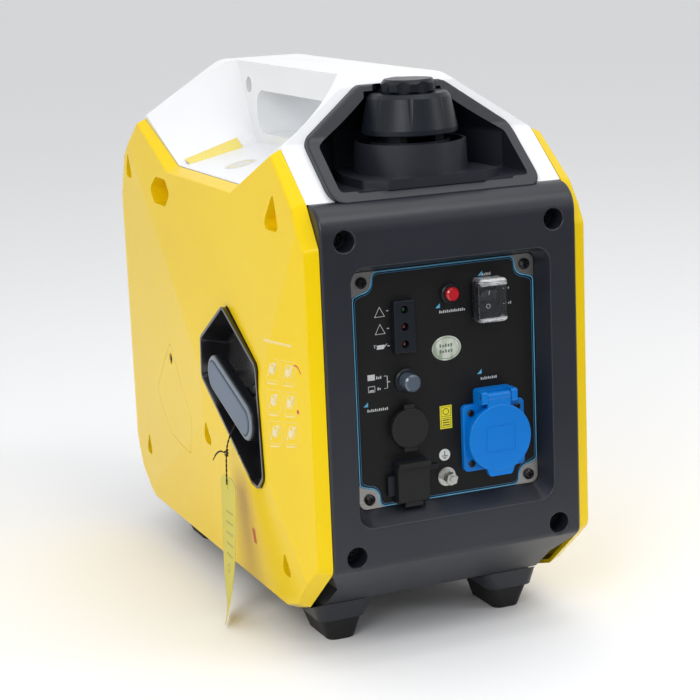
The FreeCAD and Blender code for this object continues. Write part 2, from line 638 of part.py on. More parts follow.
def fuel_cap():
    """Screw cap with eight finger flutes and a seat for the vent knob on its crown."""
    profile = [(0, NECK_RADIUS + 0.6), (0, CAP_RADIUS - 0.8), (0.8, CAP_RADIUS), (4, CAP_RADIUS),
               (26, CAP_RADIUS - 4.6), (29, CAP_RADIUS - 7), (29, 6.0), (24, 6.0), (24, NECK_RADIUS + 0.6)]
    cap = turned(profile, (0, CAP_Y, CAP_LOW), (0, 0, 1))
    for step in range(8):
        angle = math.radians(22.5 + 45 * step)
        out = V(math.cos(angle), math.sin(angle), 0)
        foot = V(0, CAP_Y, CAP_LOW + 5) + out * (CAP_RADIUS + 7.0)
        head = V(0, CAP_Y, CAP_LOW + 40) + out * (CAP_RADIUS - 1.0)
        cap = cap.cut(Part.makeCylinder(7.0, (head - foot).Length, foot, head - foot))
    return cap


def cap_vent_knob():
    profile = [(0, 0.0), (0, KNOB_RADIUS - 1), (1.0, KNOB_RADIUS), (6.5, KNOB_RADIUS), (9.5, KNOB_RADIUS - 2.5),
               (9.5, 0.0)]
    knob = turned(profile, (0, CAP_Y, CAP_HIGH + 0.3), (0, 0, 1))
    for step in range(8):
        angle = math.radians(45 * step + 10)
        x = (KNOB_RADIUS + 11.0) * math.cos(angle)
        y = CAP_Y + (KNOB_RADIUS + 11.0) * math.sin(angle)
        knob = knob.cut(rod(12.4, (x, y, CAP_HIGH), (x, y, CAP_HIGH + 12)))
    spindle = rod(6.0 - RUN, (0, CAP_Y, CAP_HIGH - 4.5), (0, CAP_Y, CAP_HIGH + 1))
    return fuse(knob, spindle)


# ---------------------------------------------------------------- base tray and feet
FOOT_OUT = HALF_END - 5.0
FOOT_IN = HALF_END - 56.0
FEET_Y = [(56.0, 116.0), (LENGTH - 112.0, LENGTH - 56.0)]
BOOT_TOP = 18.0


def foot_block(side, y0, y1):
    """The tapered block under the tray that a rubber boot is pushed onto."""
    low = rectangle(FOOT_IN + 8, FOOT_OUT - 5, y0 + 2, y1 - 2)
    high = rectangle(FOOT_IN, FOOT_OUT, y0, y1)
    block = loft(outline(low, 8, on_xy(BOOT_TOP)), outline(high, 8, on_xy(TRAY_Z + 8)))
    return block if side > 0 else mirrored(block)


def boot(side, y0, y1):
    low = rectangle(FOOT_IN + 15, FOOT_OUT - 14, y0 + 8, y1 - 8)
    high = rectangle(FOOT_IN + 10, FOOT_OUT - 8, y0 + 4, y1 - 4)
    rubber = loft(outline(low, 7, on_xy(0)), outline(high, 7, on_xy(BOOT_TOP)))
    rubber = soften(rubber, 1.5, lambda p: p.z < 0.01)
    rubber = fuse(rubber, rod(5.0, (0.5 * (FOOT_IN + FOOT_OUT), 0.5 * (y0 + y1), BOOT_TOP - 1),
                              (0.5 * (FOOT_IN + FOOT_OUT), 0.5 * (y0 + y1), BOOT_TOP + 6)))
    return rubber if side > 0 else mirrored(rubber)


def base_tray():
    y0, y1 = FRONT_CHIN[-1][0] + SEAM_GAP, LENGTH - REAR_CHIN[-1][0] - SEAM_GAP
    half = HALF_END - 0.2
    outer = slab_z(rectangle(-half, half, y0, y1), 4, TRAY_Z, TRAY_Z + 34)
    inner = slab_z(rectangle(-half + WALL, half - WALL, y0 + WALL, y1 - WALL), 3, TRAY_Z + WALL, TRAY_Z + 50)
    blocks = [foot_block(side, *ys) for side in (-1, 1) for ys in FEET_Y]
    tray = fuse(outer, *blocks).cut(inner)
    for side in (-1, 1):
        for ys in FEET_Y:
            x = side * 0.5 * (FOOT_IN + FOOT_OUT)
            tray = tray.cut(rod(5.0, (x, sum(ys) / 2, BOOT_TOP - 1), (x, sum(ys) / 2, BOOT_TOP + 6)))
    for x in ENGINE_FEET_X:
        for y in ENGINE_FEET_Y:
            tray = fuse(tray, rod(11, (x, y, TRAY_Z + 1), (x, y, TRAY_Z + 10)))
    tray = tray.cut(chin_space(FRONT_CHIN)).cut(end_for_end(chin_space(REAR_CHIN)))
    return drilled_for_cover_screws(tray)


def chin_space(chin):
    """The room that a bezel's chin takes, grown by the gap between mouldings."""
    points = [(-5.0, chin[0][1] + 60), (-5.0, chin[0][1] + 4)] + chin[1:] + [(chin[-1][0], chin[0][1] + 60)]
    return slab_x(inset(points, -SEAM_GAP), 0, -WIDTH, WIDTH)


# ---------------------------------------------------------------- control panel and what it carries
PANEL_BACK = PANEL_DEPTH + 2.0
AC = (35.0, 156.0)
DC = (-33.0, 171.0)
PORT = (-32.5, 131.5)
BREAKER = (-33.0, 205.5)
RESET = (4.0, 264.5)
ECO = (33.0, 257.5)
LEDS = (-33.7, 245.0)
GROUND = (-3.0, 129.5)
LED_STEP = 12.5
AC_BODY_RADIUS = 23.0
DC_BODY_RADIUS = 12.5
PLUG_SEAT = PANEL_DEPTH + 1.5


def control_panel():
    plate = slab_y(inset(PLATE, SEAM_GAP / 2), 6, PANEL_DEPTH, PANEL_BACK)
    cuts = [rod(2.2, (x, PANEL_DEPTH - 1, z), (x, PANEL_BACK + 1, z)) for x, z in PANEL_SCREWS]
    cuts.append(rod(AC_BODY_RADIUS + 0.3, (AC[0], 10, AC[1]), (AC[0], 20, AC[1])))
    cuts.append(rod(DC_BODY_RADIUS + 0.3, (DC[0], 10, DC[1]), (DC[0], 20, DC[1])))
    cuts.append(rod(7.0, (BREAKER[0], 10, BREAKER[1]), (BREAKER[0], 20, BREAKER[1])))
    cuts.append(rod(5.6, (RESET[0], 10, RESET[1]), (RESET[0], 20, RESET[1])))
    cuts.append(rod(2.6, (GROUND[0], 10, GROUND[1]), (GROUND[0], 20, GROUND[1])))
    cuts.append(box(ECO[0] - 8.6, ECO[0] + 8.6, 10, 20, ECO[1] - 12.1, ECO[1] + 12.1))
    cuts.append(box(PORT[0] - 10.3, PORT[0] + 10.3, 10, 20, PORT[1] - 12.3, PORT[1] + 12.3))
    cuts.append(box(LEDS[0] - 5.3, LEDS[0] + 5.3, 10, 20, LEDS[1] - 16.3, LEDS[1] + 16.3))
    for cut in cuts:
        plate = plate.cut(cut)
    return plate


def screw(x, y, z, head_radius, head_height, shank_radius, length, direction=(0, -1, 0)):
    """A cross-head screw whose head's underside is at y and whose head points along direction."""
    head = turned([(0, 0.0), (0, head_radius), (head_height * 0.45, head_radius), (head_height, head_radius * 0.62),
                   (head_height, 0.0)], (x, y, z), direction)
    out = V(*direction)
    at = V(x, y, z)
    shank = Part.makeCylinder(shank_radius, length + 0.2, at + out * 0.2, out * -1)
    slot = Part.makeBox(head_radius * 1.1, head_radius * 0.28, head_height, V(-head_radius * 0.55, -head_radius * 0.14,
                                                                             head_height * 0.45))
    cross = slot.fuse(slot.rotated(V(0, 0, 0), V(0, 0, 1), 90))
    cross.Placement = FreeCAD.Placement(at, FreeCAD.Rotation(V(0, 0, 1), out))
    return fuse(head, shank).cut(cross)


def socket_screws():
    flange = PANEL_DEPTH - AC_FLANGE
    return [screw(AC[0] + dx, flange, AC[1] + dz, 2.6, 1.4, 1.3, 4.0) for dx in (-19, 19) for dz in (-19, 19)]


AC_FLANGE = 4.2
AC_RING_FACE = 4.6        # y of the socket ring that the lid closes on
LID_HINGE = (3.8, 187.0)  # y and z of the lid's pin
LID_BACK = AC_RING_FACE - 0.3


def ac_socket_base():
    """Panel socket: square flange, round ring with the bore, two hinge ears at the top."""
    x, z = AC
    flange = slab_y(rectangle(x - 25, x + 25, z - 25, z + 25), 3.5, PANEL_DEPTH - AC_FLANGE, PANEL_DEPTH)
    flange = soften(flange, 1.0, lambda p: p.y < PANEL_DEPTH - AC_FLANGE + 0.01)
    barrel = rod(AC_BODY_RADIUS, (x, AC_RING_FACE, z), (x, PANEL_DEPTH + 26, z))
    foot_block_ = slab_y(rectangle(x - 14.5, x + 14.5, z + 19, z + 36), 2.5, 7.5, PANEL_DEPTH)
    ears = []
    for side in (-1, 1):
        ear = box(x + side * 12 - 2.4, x + side * 12 + 2.4, 0.2, PANEL_DEPTH - 5, z + 26, z + 35.5)
        ears.append(soften(ear, 2.0, lambda p: p.y < 0.3 and (p.z < z + 26.1 or p.z > z + 35.4)))
    base = fuse(flange, barrel, foot_block_, *ears)
    base = base.cut(rod(AC_SOCKET_RADIUS, (x, -5, z), (x, PANEL_DEPTH + 8, z)))
    base = base.cut(rod(LID_PIN_RADIUS + 0.02, (x - 20, *LID_HINGE), (x + 20, *LID_HINGE)))
    for dx in (-9.5, 9.5):
        base = base.cut(rod(2.5, (x + dx, 0, z), (x + dx, PANEL_DEPTH + 22, z)))
    for dx in (-19, 19):
        for dz in (-19, 19):
            base = base.cut(rod(1.3 + RUN, (x + dx, 0, z + dz), (x + dx, PANEL_DEPTH + 2, z + dz)))
    return base


LID_PIN_RADIUS = 1.5


def ac_socket_lid():
    """Round lid with a thumb tab below and a broad arm up to its hinge barrel."""
    x, z = AC
    disc = rod(25.2, (x, 0.4, z), (x, LID_BACK, z))
    disc = soften(disc, 1.2, lambda p: p.y < 0.41)
    tab = slab_y([(x - 9, z - 28), (x + 9, z - 28), (x + 12, z - 20), (x - 12, z - 20)], 2, 0.9, LID_BACK)
    arm = slab_y(rectangle(x - 9.2, x + 9.2, z + 18, z + 31), 0, 0.9, LID_BACK)
    barrel = rod(3.4, (x - 9.2, *LID_HINGE), (x + 9.2, *LID_HINGE))
    lid = fuse(disc, tab, arm, barrel)
    lid = lid.cut(rod(LID_PIN_RADIUS + RUN, (x - 20, *LID_HINGE), (x + 20, *LID_HINGE)))
    frame_outer = slab_y(rectangle(x - 12, x + 12, z - 10, z + 10), 1, 0.1, 0.6)
    frame_inner = slab_y(rectangle(x - 11, x + 11, z - 9, z + 9), 0.8, 0.0, 0.7)
    return lid.cut(frame_outer.cut(frame_inner))


def ac_lid_pin():
    return rod(LID_PIN_RADIUS, (AC[0] - 14.2, *LID_HINGE), (AC[0] + 14.2, *LID_HINGE))


def dc_socket():
    x, z = DC
    body = turned([(0, 0.0), (0, 14.0), (2.6, 14.0), (2.6, DC_BODY_RADIUS), (34, DC_BODY_RADIUS), (34, 0.0)],
                  (x, PANEL_DEPTH - 2.6, z), (0, 1, 0))
    body = body.cut(rod(DC_SOCKET_RADIUS, (x, 0, z), (x, PANEL_DEPTH + 26, z)))
    return body.cut(rod(DC_SOCKET_RADIUS + 1.0, (x, 0, z), (x, PLUG_SEAT, z)))


CAP_HINGE_Z = DC[1] - 16.6
CAP_HINGE_Y = 10.6


def dc_socket_cap():
    """Rubber cap that plugs the 12 V socket and flips down on a moulded tongue."""
    x, z = DC
    cap = rod(14.6, (x, 8.4, z), (x, 11.8, z))
    cap = soften(cap, 1.0, lambda p: p.y < 8.41)
    plug = ring(DC_SOCKET_RADIUS + 0.1, DC_SOCKET_RADIUS - 3, (x, 11.7, z), (x, PLUG_SEAT - 0.7, z))
    tongue = box(x - 5, x + 5, 9.2, 11.8, CAP_HINGE_Z, z - 12)
    barrel = rod(1.2, (x - 5, CAP_HINGE_Y, CAP_HINGE_Z), (x + 5, CAP_HINGE_Y, CAP_HINGE_Z))
    pull = box(x - 4, x + 4, 9.2, 11.4, z + 13.5, z + 17.5)
    return fuse(cap, plug, tongue, barrel, pull)


PORT_FACE = 6.4


def port_housing():
    """Square outlet below the 12 V socket: a stepped frame with a deep cavity."""
    x, z = PORT
    frame = slab_y(rectangle(x - 13.2, x + 13.2, z - 15.5, z + 15.5), 1.5, PORT_FACE + 3.4, PANEL_DEPTH)
    step = slab_y(rectangle(x - 18.5, x - 12, z - 9.5, z + 5.5), 1, PORT_FACE + 4.6, PANEL_DEPTH)
    strap = slab_y(rectangle(x + 11, x + 23, z + 5.0, z + 9.0), 0.8, PANEL_DEPTH - 1.6, PANEL_DEPTH)
    body = box(x - 10, x + 10, PANEL_DEPTH - 1, PANEL_DEPTH + 24, z - 12, z + 12)
    hollow = box(x - 8, x + 8, 0, PANEL_DEPTH + 20, z - 10, z + 10)
    return fuse(frame, step, strap, body).cut(hollow)


PORT_HINGE = (PORT_FACE + 2.0, PORT[1] - 17.4)


def port_cover():
    x, z = PORT
    plate = slab_y(rectangle(x - 12.6, x + 12.6, z - 14.5, z + 15.2), 1.5, PORT_FACE, PORT_FACE + 3.1)
    plate = soften(plate, 0.8, lambda p: p.y < PORT_FACE + 0.01)
    lip = slab_y(rectangle(x - 12.6, x + 12.6, z + 11.6, z + 15.2), 1.2, PORT_FACE - 2.6, PORT_FACE + 1)
    leaf = box(x - 7, x + 7, PORT_FACE + 0.8, PORT_FACE + 3.1, PORT_HINGE[1], z - 14)
    barrel = rod(1.4, (x - 7, *PORT_HINGE), (x + 7, *PORT_HINGE))
    return fuse(plate, lip, leaf, barrel)


def led_block():
    x, z = LEDS
    block = slab_y(rectangle(x - 8.2, x + 8.2, z - 19, z + 19), 1.2, PANEL_DEPTH - 4.5, PANEL_DEPTH)
    block = soften(block, 0.8, lambda p: p.y < PANEL_DEPTH - 4.49)
    block = fuse(block, box(x - 5, x + 5, PANEL_DEPTH - 1, PANEL_DEPTH + 8, z - 16, z + 16))
    for step in (-1, 0, 1):
        lamp_z = z + step * LED_STEP
        block = block.cut(rod(2.9, (x, 0, lamp_z), (x, PANEL_DEPTH + 4, lamp_z)))
    return block


def pilot_lights():
    x, z = LEDS
    lamps = []
    for step in (-1, 0, 1):
        at = (x, PANEL_DEPTH + 4, z + step * LED_STEP)
        lamps.append(turned([(0, 0.0), (0, 2.8), (3.6, 2.8), (5.4, 2.2), (6.4, 1.1), (6.6, 0.0)], at, (0, -1, 0)))
    return lamps


def button_collars():
    """Black round collars screwed onto the reset button and the circuit breaker."""
    collars = []
    for (x, z), outer, inner, proud in ((RESET, 7.4, 5.0 + RUN, 3.4), (BREAKER, 8.6, 6.25 + RUN, 3.0)):
        face = PANEL_DEPTH - proud
        collar = turned([(0, inner), (0, outer - 1), (1.0, outer), (proud, outer), (proud, inner + 0.5),
                         (proud + 12, inner + 0.5), (proud + 12, inner)], (x, face, z), (0, 1, 0))
        collars.append(collar)
    return collars


def push_button(at, radius, face_y):
    x, z = at
    return turned([(0, 0.0), (0, radius - 1.2), (1.2, radius), (PANEL_DEPTH + 7 - face_y, radius),
                   (PANEL_DEPTH + 7 - face_y, 0.0)], (x, face_y, z), (0, 1, 0))


ECO_FACE = PANEL_DEPTH - 3.0


def eco_switch_frame():
    x, z = ECO
    frame = slab_y(rectangle(x - 10.4, x + 10.4, z - 14.4, z + 14.4), 1.6, ECO_FACE, PANEL_DEPTH)
    body = box(x - 8.3, x + 8.3, PANEL_DEPTH - 1, PANEL_DEPTH + 16, z - 11.8, z + 11.8)
    hollow = box(x - 6.6, x + 6.6, 0, PANEL_DEPTH + 12, z - 10.2, z + 10.2)
    bearings = rod(ROCKER_AXLE + RUN, (x - 7.8, PANEL_DEPTH + 5, z), (x + 7.8, PANEL_DEPTH + 5, z))
    return fuse(frame, body).cut(hollow).cut(bearings)


def eco_rocker():
    """Rocker that stands with its lower half pressed in; it pivots on its own axle ends."""
    x, z = ECO
    y = PANEL_DEPTH + 5
    top = 10.6
    profile = [(y + 3, z - 8.2), (y + 3, z + 8.2), (y - top, z + 8.4), (y - top + 2.4, z), (y - top, z - 8.4)]
    rocker = slab_x([(p, q) for p, q in reversed(profile)], [0.6, 6, 0.6, 1, 1], x - 6.3, x + 6.3)
    rocker = fuse(rocker, rod(ROCKER_AXLE, (x - 7.6, y, z), (x + 7.6, y, z)))
    rocker.rotate(V(x, y, z), V(1, 0, 0), ROCKER_SWING / 2)
    return rocker


ROCKER_SWING = 14.0
ROCKER_AXLE = 1.4


def eco_clear_cover():
    """Soft clear hood over the rocker, clipped round the switch frame."""
    x, z = ECO
    outer = slab_y(rectangle(x - 12, x + 12, z - 16, z + 16), 3.5, ECO_FACE - 9.4, PANEL_DEPTH)
    outer = soften(outer, 2.2, lambda p: p.y < ECO_FACE - 9.39)
    inner = slab_y(rectangle(x - 10.8, x + 10.8, z - 14.8, z + 14.8), 2.4, ECO_FACE - 8.4, PANEL_DEPTH + 1)
    return outer.cut(inner)


def ground_stud():
    x, z = GROUND
    head = turned([(0, 0.0), (0, 5.0), (1.2, 5.0), (1.2, 2.5), (1.2 + PANEL_DEPTH, 2.5)] + [(1.2 + PANEL_DEPTH, 0.0)],
                  (x, PANEL_BACK + 1.2, z), (0, -1, 0))
    return head


def ground_nuts():
    """Flange washer and nut against the panel, then a second nut near the stud's end."""
    x, z = GROUND
    pieces = []
    washer = ring(7.0, 2.5 + RUN, (x, PANEL_DEPTH - 1.2, z), (x, PANEL_DEPTH, z))
    pieces.append(washer)
    for y0, y1, across in ((PANEL_DEPTH - 5.0, PANEL_DEPTH - 1.25, 4.7), (4.4, 8.2, 4.7)):
        corners = [(x + across * math.cos(math.radians(60 * k + 15)), z + across * math.sin(math.radians(60 * k + 15)))
                   for k in range(6)]
        nut = slab_y(corners, 0, y0, y1).cut(rod(2.5 + RUN, (x, y0 - 1, z), (x, y1 + 1, z)))
        pieces.append(nut)
    return pieces


# ---------------------------------------------------------------- exhaust end
EXHAUST = (-36.0, 185.0)


def exhaust_grille():
    """Louvred outlet plate in the rear bezel, with a round hole for the tailpipe."""
    plate = slab_y(inset(PLATE, SEAM_GAP / 2), 6, PANEL_DEPTH, PANEL_BACK + 0.4)
    louvres = []
    for row in range(9):
        z = 130 + row * 17
        slot = slab_y(rectangle(-60, 60, z - 4.5, z + 4.5), 4.4, PANEL_DEPTH - 1, PANEL_BACK + 2)
        plate = plate.cut(slot)
        blade = Part.Face(Part.makePolygon([V(-61, PANEL_DEPTH - 5, z - 4.4), V(-61, PANEL_DEPTH - 6.6, z - 3.2),
                                            V(-61, PANEL_DEPTH + 0.5, z + 6.2), V(-61, PANEL_DEPTH + 1.6, z + 5.0),
                                            V(-61, PANEL_DEPTH - 5, z - 4.4)])).extrude(V(122, 0, 0))
        louvres.append(blade)
    cheeks = [box(x - 1, x + 1, PANEL_DEPTH - 5, PANEL_DEPTH + 1, 125.5, 273) for x in (-61, 0, 61)]
    plate = fuse(plate, *louvres, *cheeks)
    pipe_ring = rod(TAILPIPE_RADIUS + 9, (EXHAUST[0], PANEL_DEPTH - 6, EXHAUST[1]),
                    (EXHAUST[0], PANEL_BACK, EXHAUST[1]))
    pipe_hole = rod(TAILPIPE_RADIUS + 3, (EXHAUST[0], 0, EXHAUST[1]), (EXHAUST[0], 30, EXHAUST[1]))
    plate = fuse(plate, pipe_ring).cut(pipe_hole)
    for x, z in PANEL_SCREWS:
        plate = plate.cut(rod(2.2, (x, 5, z), (x, 25, z)))
    return end_for_end(plate)


def tailpipe():
    x, z = EXHAUST
    pipe = ring(TAILPIPE_RADIUS, TAILPIPE_RADIUS - 2, (x, 1.5, z), (x, MUFFLER_BACK + 1, z))
    collar = ring(TAILPIPE_RADIUS + 1.6, TAILPIPE_RADIUS - 0.5, (x, 1.0, z), (x, 5, z))
    flange = ring(TAILPIPE_RADIUS + 8, TAILPIPE_RADIUS - 2, (x, MUFFLER_BACK - 2.4, z), (x, MUFFLER_BACK - 0.2, z))
    return end_for_end(fuse(pipe, collar, flange).cut(
        rod(TAILPIPE_RADIUS - 2, (x, 0, z), (x, MUFFLER_BACK + 2, z))))


MUFFLER_BACK = 30.0
MUFFLER_DEPTH = 46.0


def muffler():
    """Pressed steel muffler across the rear, with its inlet flange towards the cylinder."""
    y0 = LENGTH - MUFFLER_BACK - MUFFLER_DEPTH
    y1 = LENGTH - MUFFLER_BACK
    can = slab_z(rectangle(-62, 40, y0, y1), 14, 112, 232)
    can = soften(can, 6.0, lambda p: p.z < 112.01 or p.z > 231.99)
    can = can.cut(slab_z(rectangle(-60, 38, y0 + 2, y1 - 2), 12, 114, 230))
    bead = slab_z(rectangle(-63, 41, y0 - 1, y1 + 1), 15, 138, 142)
    bead = bead.cut(slab_z(rectangle(-61, 39, y0 + 1, y1 - 1), 13, 137, 143))
    x, z = EXHAUST
    hole = rod(TAILPIPE_RADIUS + RUN, (x, y1 - 5, z), (x, y1 + 5, z))
    stub = ring(14, 11, (0, y0 - 8, CRANK_Z), (0, y0 + 3, CRANK_Z))
    return fuse(can, bead, stub).cut(hole).cut(rod(11, (0, y0 - 9, CRANK_Z), (0, y0 + 4, CRANK_Z)))


# ---------------------------------------------------------------- engine and alternator
SHAFT_RADIUS = 8.0
CASE_LEFT = -34.0
CASE_RIGHT = 48.0
ENGINE_FEET_Y = [CRANK_Y - 38, CRANK_Y + 38]
ENGINE_FEET_X = [-18.0, 30.0]
ROTOR_LEFT = -74.0


def crank_point(x, dy=0.0, dz=0.0):
    return (x, CRANK_Y + dy, CRANK_Z + dz)


def crankcase():
    case = box(CASE_LEFT, CASE_RIGHT, CRANK_Y - 46, CRANK_Y + 44, CRANK_Z - 58, CRANK_Z + 50)
    case = soften(case, 10.0, lambda p: CASE_LEFT + 5 < p.x < CASE_RIGHT - 5)
    case = case.cut(box(CASE_LEFT + 5, CASE_RIGHT - 5, CRANK_Y - 40, CRANK_Y + 38, CRANK_Z - 52, CRANK_Z + 44))
    nose = rod(15, crank_point(CASE_LEFT - 4), crank_point(CASE_LEFT + 1))
    feet = [box(x - 12, x + 12, y - 10, y + 10, CRANK_Z - 66, CRANK_Z - 57)
            for x in ENGINE_FEET_X for y in ENGINE_FEET_Y]
    filler = rod(9, crank_point(CASE_LEFT - 4, 38, -34), crank_point(CASE_LEFT + 2, 38, -34))
    case = fuse(case, nose, filler, *feet)
    case = case.cut(rod(SHAFT_RADIUS + RUN, crank_point(CASE_LEFT - 10), crank_point(CASE_LEFT + 6)))
    return case.cut(rod(CYLINDER_BORE, (8, CRANK_Y + 30, CRANK_Z), (8, CRANK_Y + 50, CRANK_Z)))


CYLINDER_BORE = 20.0


def cylinder():
    """Air-cooled barrel and head with square cooling fins, lying towards the rear."""
    y0 = CRANK_Y + 44
    reach = LENGTH - MUFFLER_BACK - MUFFLER_DEPTH - 10 - y0
    barrel = rod(26, (8, y0, CRANK_Z), (8, y0 + reach, CRANK_Z))
    fins = []
    for step in range(int(reach / 8)):
        y = y0 + 4 + step * 8
        fins.append(box(-30, 46, y, y + 2.5, CRANK_Z - 38, CRANK_Z + 38))
    block = fuse(barrel, *fins)
    return block.cut(rod(CYLINDER_BORE, (8, y0 - 1, CRANK_Z), (8, y0 + reach - 12, CRANK_Z)))


def spark_plug():
    """The plug in its boot above the cylinder head."""
    y = LENGTH - MUFFLER_BACK - MUFFLER_DEPTH - 28
    return turned([(0, 0.0), (0, 5.0), (8, 5.0), (8, 9.0), (14, 9.0), (14, 7.0), (36, 8.0), (40, 5.0), (40, 0.0)],
                  (8, y, CRANK_Z + 38.5), (0, 0, 1))


def crankshaft():
    shaft = rod(SHAFT_RADIUS, crank_point(RECOIL_RIGHT + 3), crank_point(CASE_LEFT + 12))
    web = rod(30, crank_point(CASE_LEFT + 7), crank_point(CASE_LEFT + 17))
    pin = rod(7, crank_point(CASE_LEFT + 16, 18), crank_point(CASE_LEFT + 34, 18))
    web_far = rod(30, crank_point(CASE_LEFT + 33), crank_point(CASE_LEFT + 43))
    stub = rod(SHAFT_RADIUS, crank_point(CASE_LEFT + 42), crank_point(CASE_RIGHT - 6))
    return fuse(shaft, web, pin, web_far, stub)


def flywheel_rotor():
    """Cup that carries the magnets and turns round the fixed stator."""
    cup = turned([(0, SHAFT_RADIUS), (0, FLYWHEEL_RADIUS), (30, FLYWHEEL_RADIUS), (30, FLYWHEEL_RADIUS - 7),
                  (5, FLYWHEEL_RADIUS - 7), (5, 16), (12, 16), (12, SHAFT_RADIUS)],
                 crank_point(ROTOR_LEFT), (1, 0, 0))
    return cup


def stator():
    core = turned([(0, 17), (0, FLYWHEEL_RADIUS - 9), (20, FLYWHEEL_RADIUS - 9), (20, 17)],
                  crank_point(ROTOR_LEFT + 14), (1, 0, 0))
    sleeve = ring(22, 17, crank_point(ROTOR_LEFT + 30), crank_point(CASE_LEFT - 0.05))
    for step in range(12):
        angle = math.radians(30 * step)
        gap = box(ROTOR_LEFT + 13, ROTOR_LEFT + 35, -2.2, 2.2, 30, FLYWHEEL_RADIUS)
        gap.rotate(V(0, 0, 0), V(1, 0, 0), math.degrees(angle))
        gap.translate(V(0, CRANK_Y, CRANK_Z))
        core = core.cut(gap)
    return fuse(core, sleeve)


def cooling_fan():
    """Fan blades on a ring that is pressed against the flywheel's left face."""
    plate = ring(FLYWHEEL_RADIUS - 2, 22, crank_point(ROTOR_LEFT - 2.2), crank_point(ROTOR_LEFT))
    blades = []
    for step in range(10):
        blade = box(ROTOR_LEFT - 5.5, ROTOR_LEFT - 1, -1.2, 1.2, 30, FLYWHEEL_RADIUS - 3)
        blade.rotate(V(0, 0, 0), V(1, 0, 0), 36 * step)
        blade.translate(V(0, CRANK_Y, CRANK_Z))
        blades.append(blade)
    return fuse(plate, *blades)


RECOIL_LEFT = -SEAM + 5.0
RECOIL_RIGHT = RECOIL_LEFT + 13.0
PULLEY_RADIUS = 32.0


def recoil_housing():
    """Dished cover on the left of the engine that holds the pulley on a fixed post."""
    cup = turned([(0, 0.0), (0, FLYWHEEL_RADIUS + 6), (13, FLYWHEEL_RADIUS + 10), (13, FLYWHEEL_RADIUS + 7.5),
                  (2.5, FLYWHEEL_RADIUS + 3.5), (2.5, 6.0), (11, 6.0), (11, 0.0)], crank_point(RECOIL_LEFT), (1, 0, 0))
    for step in range(16):
        angle = math.radians(22.5 * step + 11)
        y = CRANK_Y + 48 * math.cos(angle)
        z = CRANK_Z + 48 * math.sin(angle)
        cup = cup.cut(rod(5.5, (RECOIL_LEFT - 1, y, z), (RECOIL_LEFT + 4, y, z)))
    return cup


def recoil_pulley():
    return turned([(0, 6.0 + RUN), (0, PULLEY_RADIUS + 5), (1.5, PULLEY_RADIUS + 5), (3.4, PULLEY_RADIUS),
                   (5.3, PULLEY_RADIUS + 5), (6.8, PULLEY_RADIUS + 5), (6.8, 6.0 + RUN)],
                  crank_point(RECOIL_LEFT + 3.2), (1, 0, 0))


def engine_mounts():
    """Rubber mounts between the tray's pads and the engine's feet."""
    return [rod(9, (x, y, TRAY_Z + 10), (x, y, CRANK_Z - 66)) for x in ENGINE_FEET_X for y in ENGINE_FEET_Y]


def carburettor():
    y = CRANK_Y + 70
    body = box(50, 76, y - 14, y + 14, CRANK_Z - 12, CRANK_Z + 16)
    bowl = rod(12, (63, y, CRANK_Z - 32), (63, y, CRANK_Z - 11))
    throat = rod(11, (46.2, y, CRANK_Z + 2), (80, y, CRANK_Z + 2))
    return fuse(body, bowl, throat).cut(rod(7.5, (45, y, CRANK_Z + 2), (81, y, CRANK_Z + 2)))


def air_filter_box():
    y = CRANK_Y + 70
    shell = box(80.2, SEAM - 2, y - 48, y + 36, CRANK_Z - 34, CRANK_Z + 44)
    hollow = box(82.4, SEAM - 4, y - 46, y + 34, CRANK_Z - 32, CRANK_Z + 42)
    return shell.cut(hollow).cut(rod(11, (79, y, CRANK_Z + 2), (83, y, CRANK_Z + 2)))


# ---------------------------------------------------------------- fuel tank and inverter
TANK_TOP = VALLEY_Z - 9.0


def fuel_tank():
    body = box(-84, 84, 36, LENGTH - 168, TANK_TOP - 66, TANK_TOP)
    body = soften(body, 14.0, lambda p: True)
    hollow = box(-81, 81, 39, LENGTH - 171, TANK_TOP - 63, TANK_TOP - 3)
    hollow = soften(hollow, 11.0, lambda p: True)
    neck = rod(NECK_RADIUS, (0, CAP_Y, TANK_TOP - 6), (0, CAP_Y, CAP_LOW + 21))
    bore = rod(NECK_RADIUS - 3, (0, CAP_Y, TANK_TOP - 8), (0, CAP_Y, CAP_LOW + 22))
    under_bezel = box(-HALF_END, HALF_END, 30, 45, VALLEY_Z - 8, HEIGHT)
    return fuse(body, neck).cut(hollow).cut(bore).cut(under_bezel)


def inverter_module():
    """Finned casting behind the panel that holds the inverter's electronics."""
    core = box(-70, 70, 82, 108, 64, 234)
    fins = [box(-70 + 10 * k, -67.5 + 10 * k, 107, 122, 64, 234) for k in range(15)]
    return fuse(core, *fins)


# ---------------------------------------------------------------- hang tag on its string
TAG_X = -CREST - 8.0
TAG_Y = 139.0
TAG_TOP_Z = 117.0
TAG_LOW_Z = 3.5
TAG_WIDTH = 32.0
TAG_THICK = 0.6
TAG_TWIST = -24.0         # degrees that the paper has twisted by its lower end
TAG_HOLE_DROP = 8.0
STRING_RADIUS = 0.7


def tag_section(drop):
    """One level cut through the tag, at a share of its height below the top."""
    z = TAG_TOP_Z - drop * (TAG_TOP_Z - TAG_LOW_Z)
    angle = math.radians(TAG_TWIST * drop ** 3)
    along = V(-math.sin(angle), math.cos(angle), 0)
    across = V(math.cos(angle), math.sin(angle), 0)
    centre = V(TAG_X - 6.0 * drop ** 2, TAG_Y + 4.0 * drop, z)
    corners = [centre + along * (s * TAG_WIDTH / 2) + across * (t * TAG_THICK / 2)
               for s, t in ((-1, -1), (1, -1), (1, 1), (-1, 1))]
    return Part.makePolygon(corners + [corners[0]])


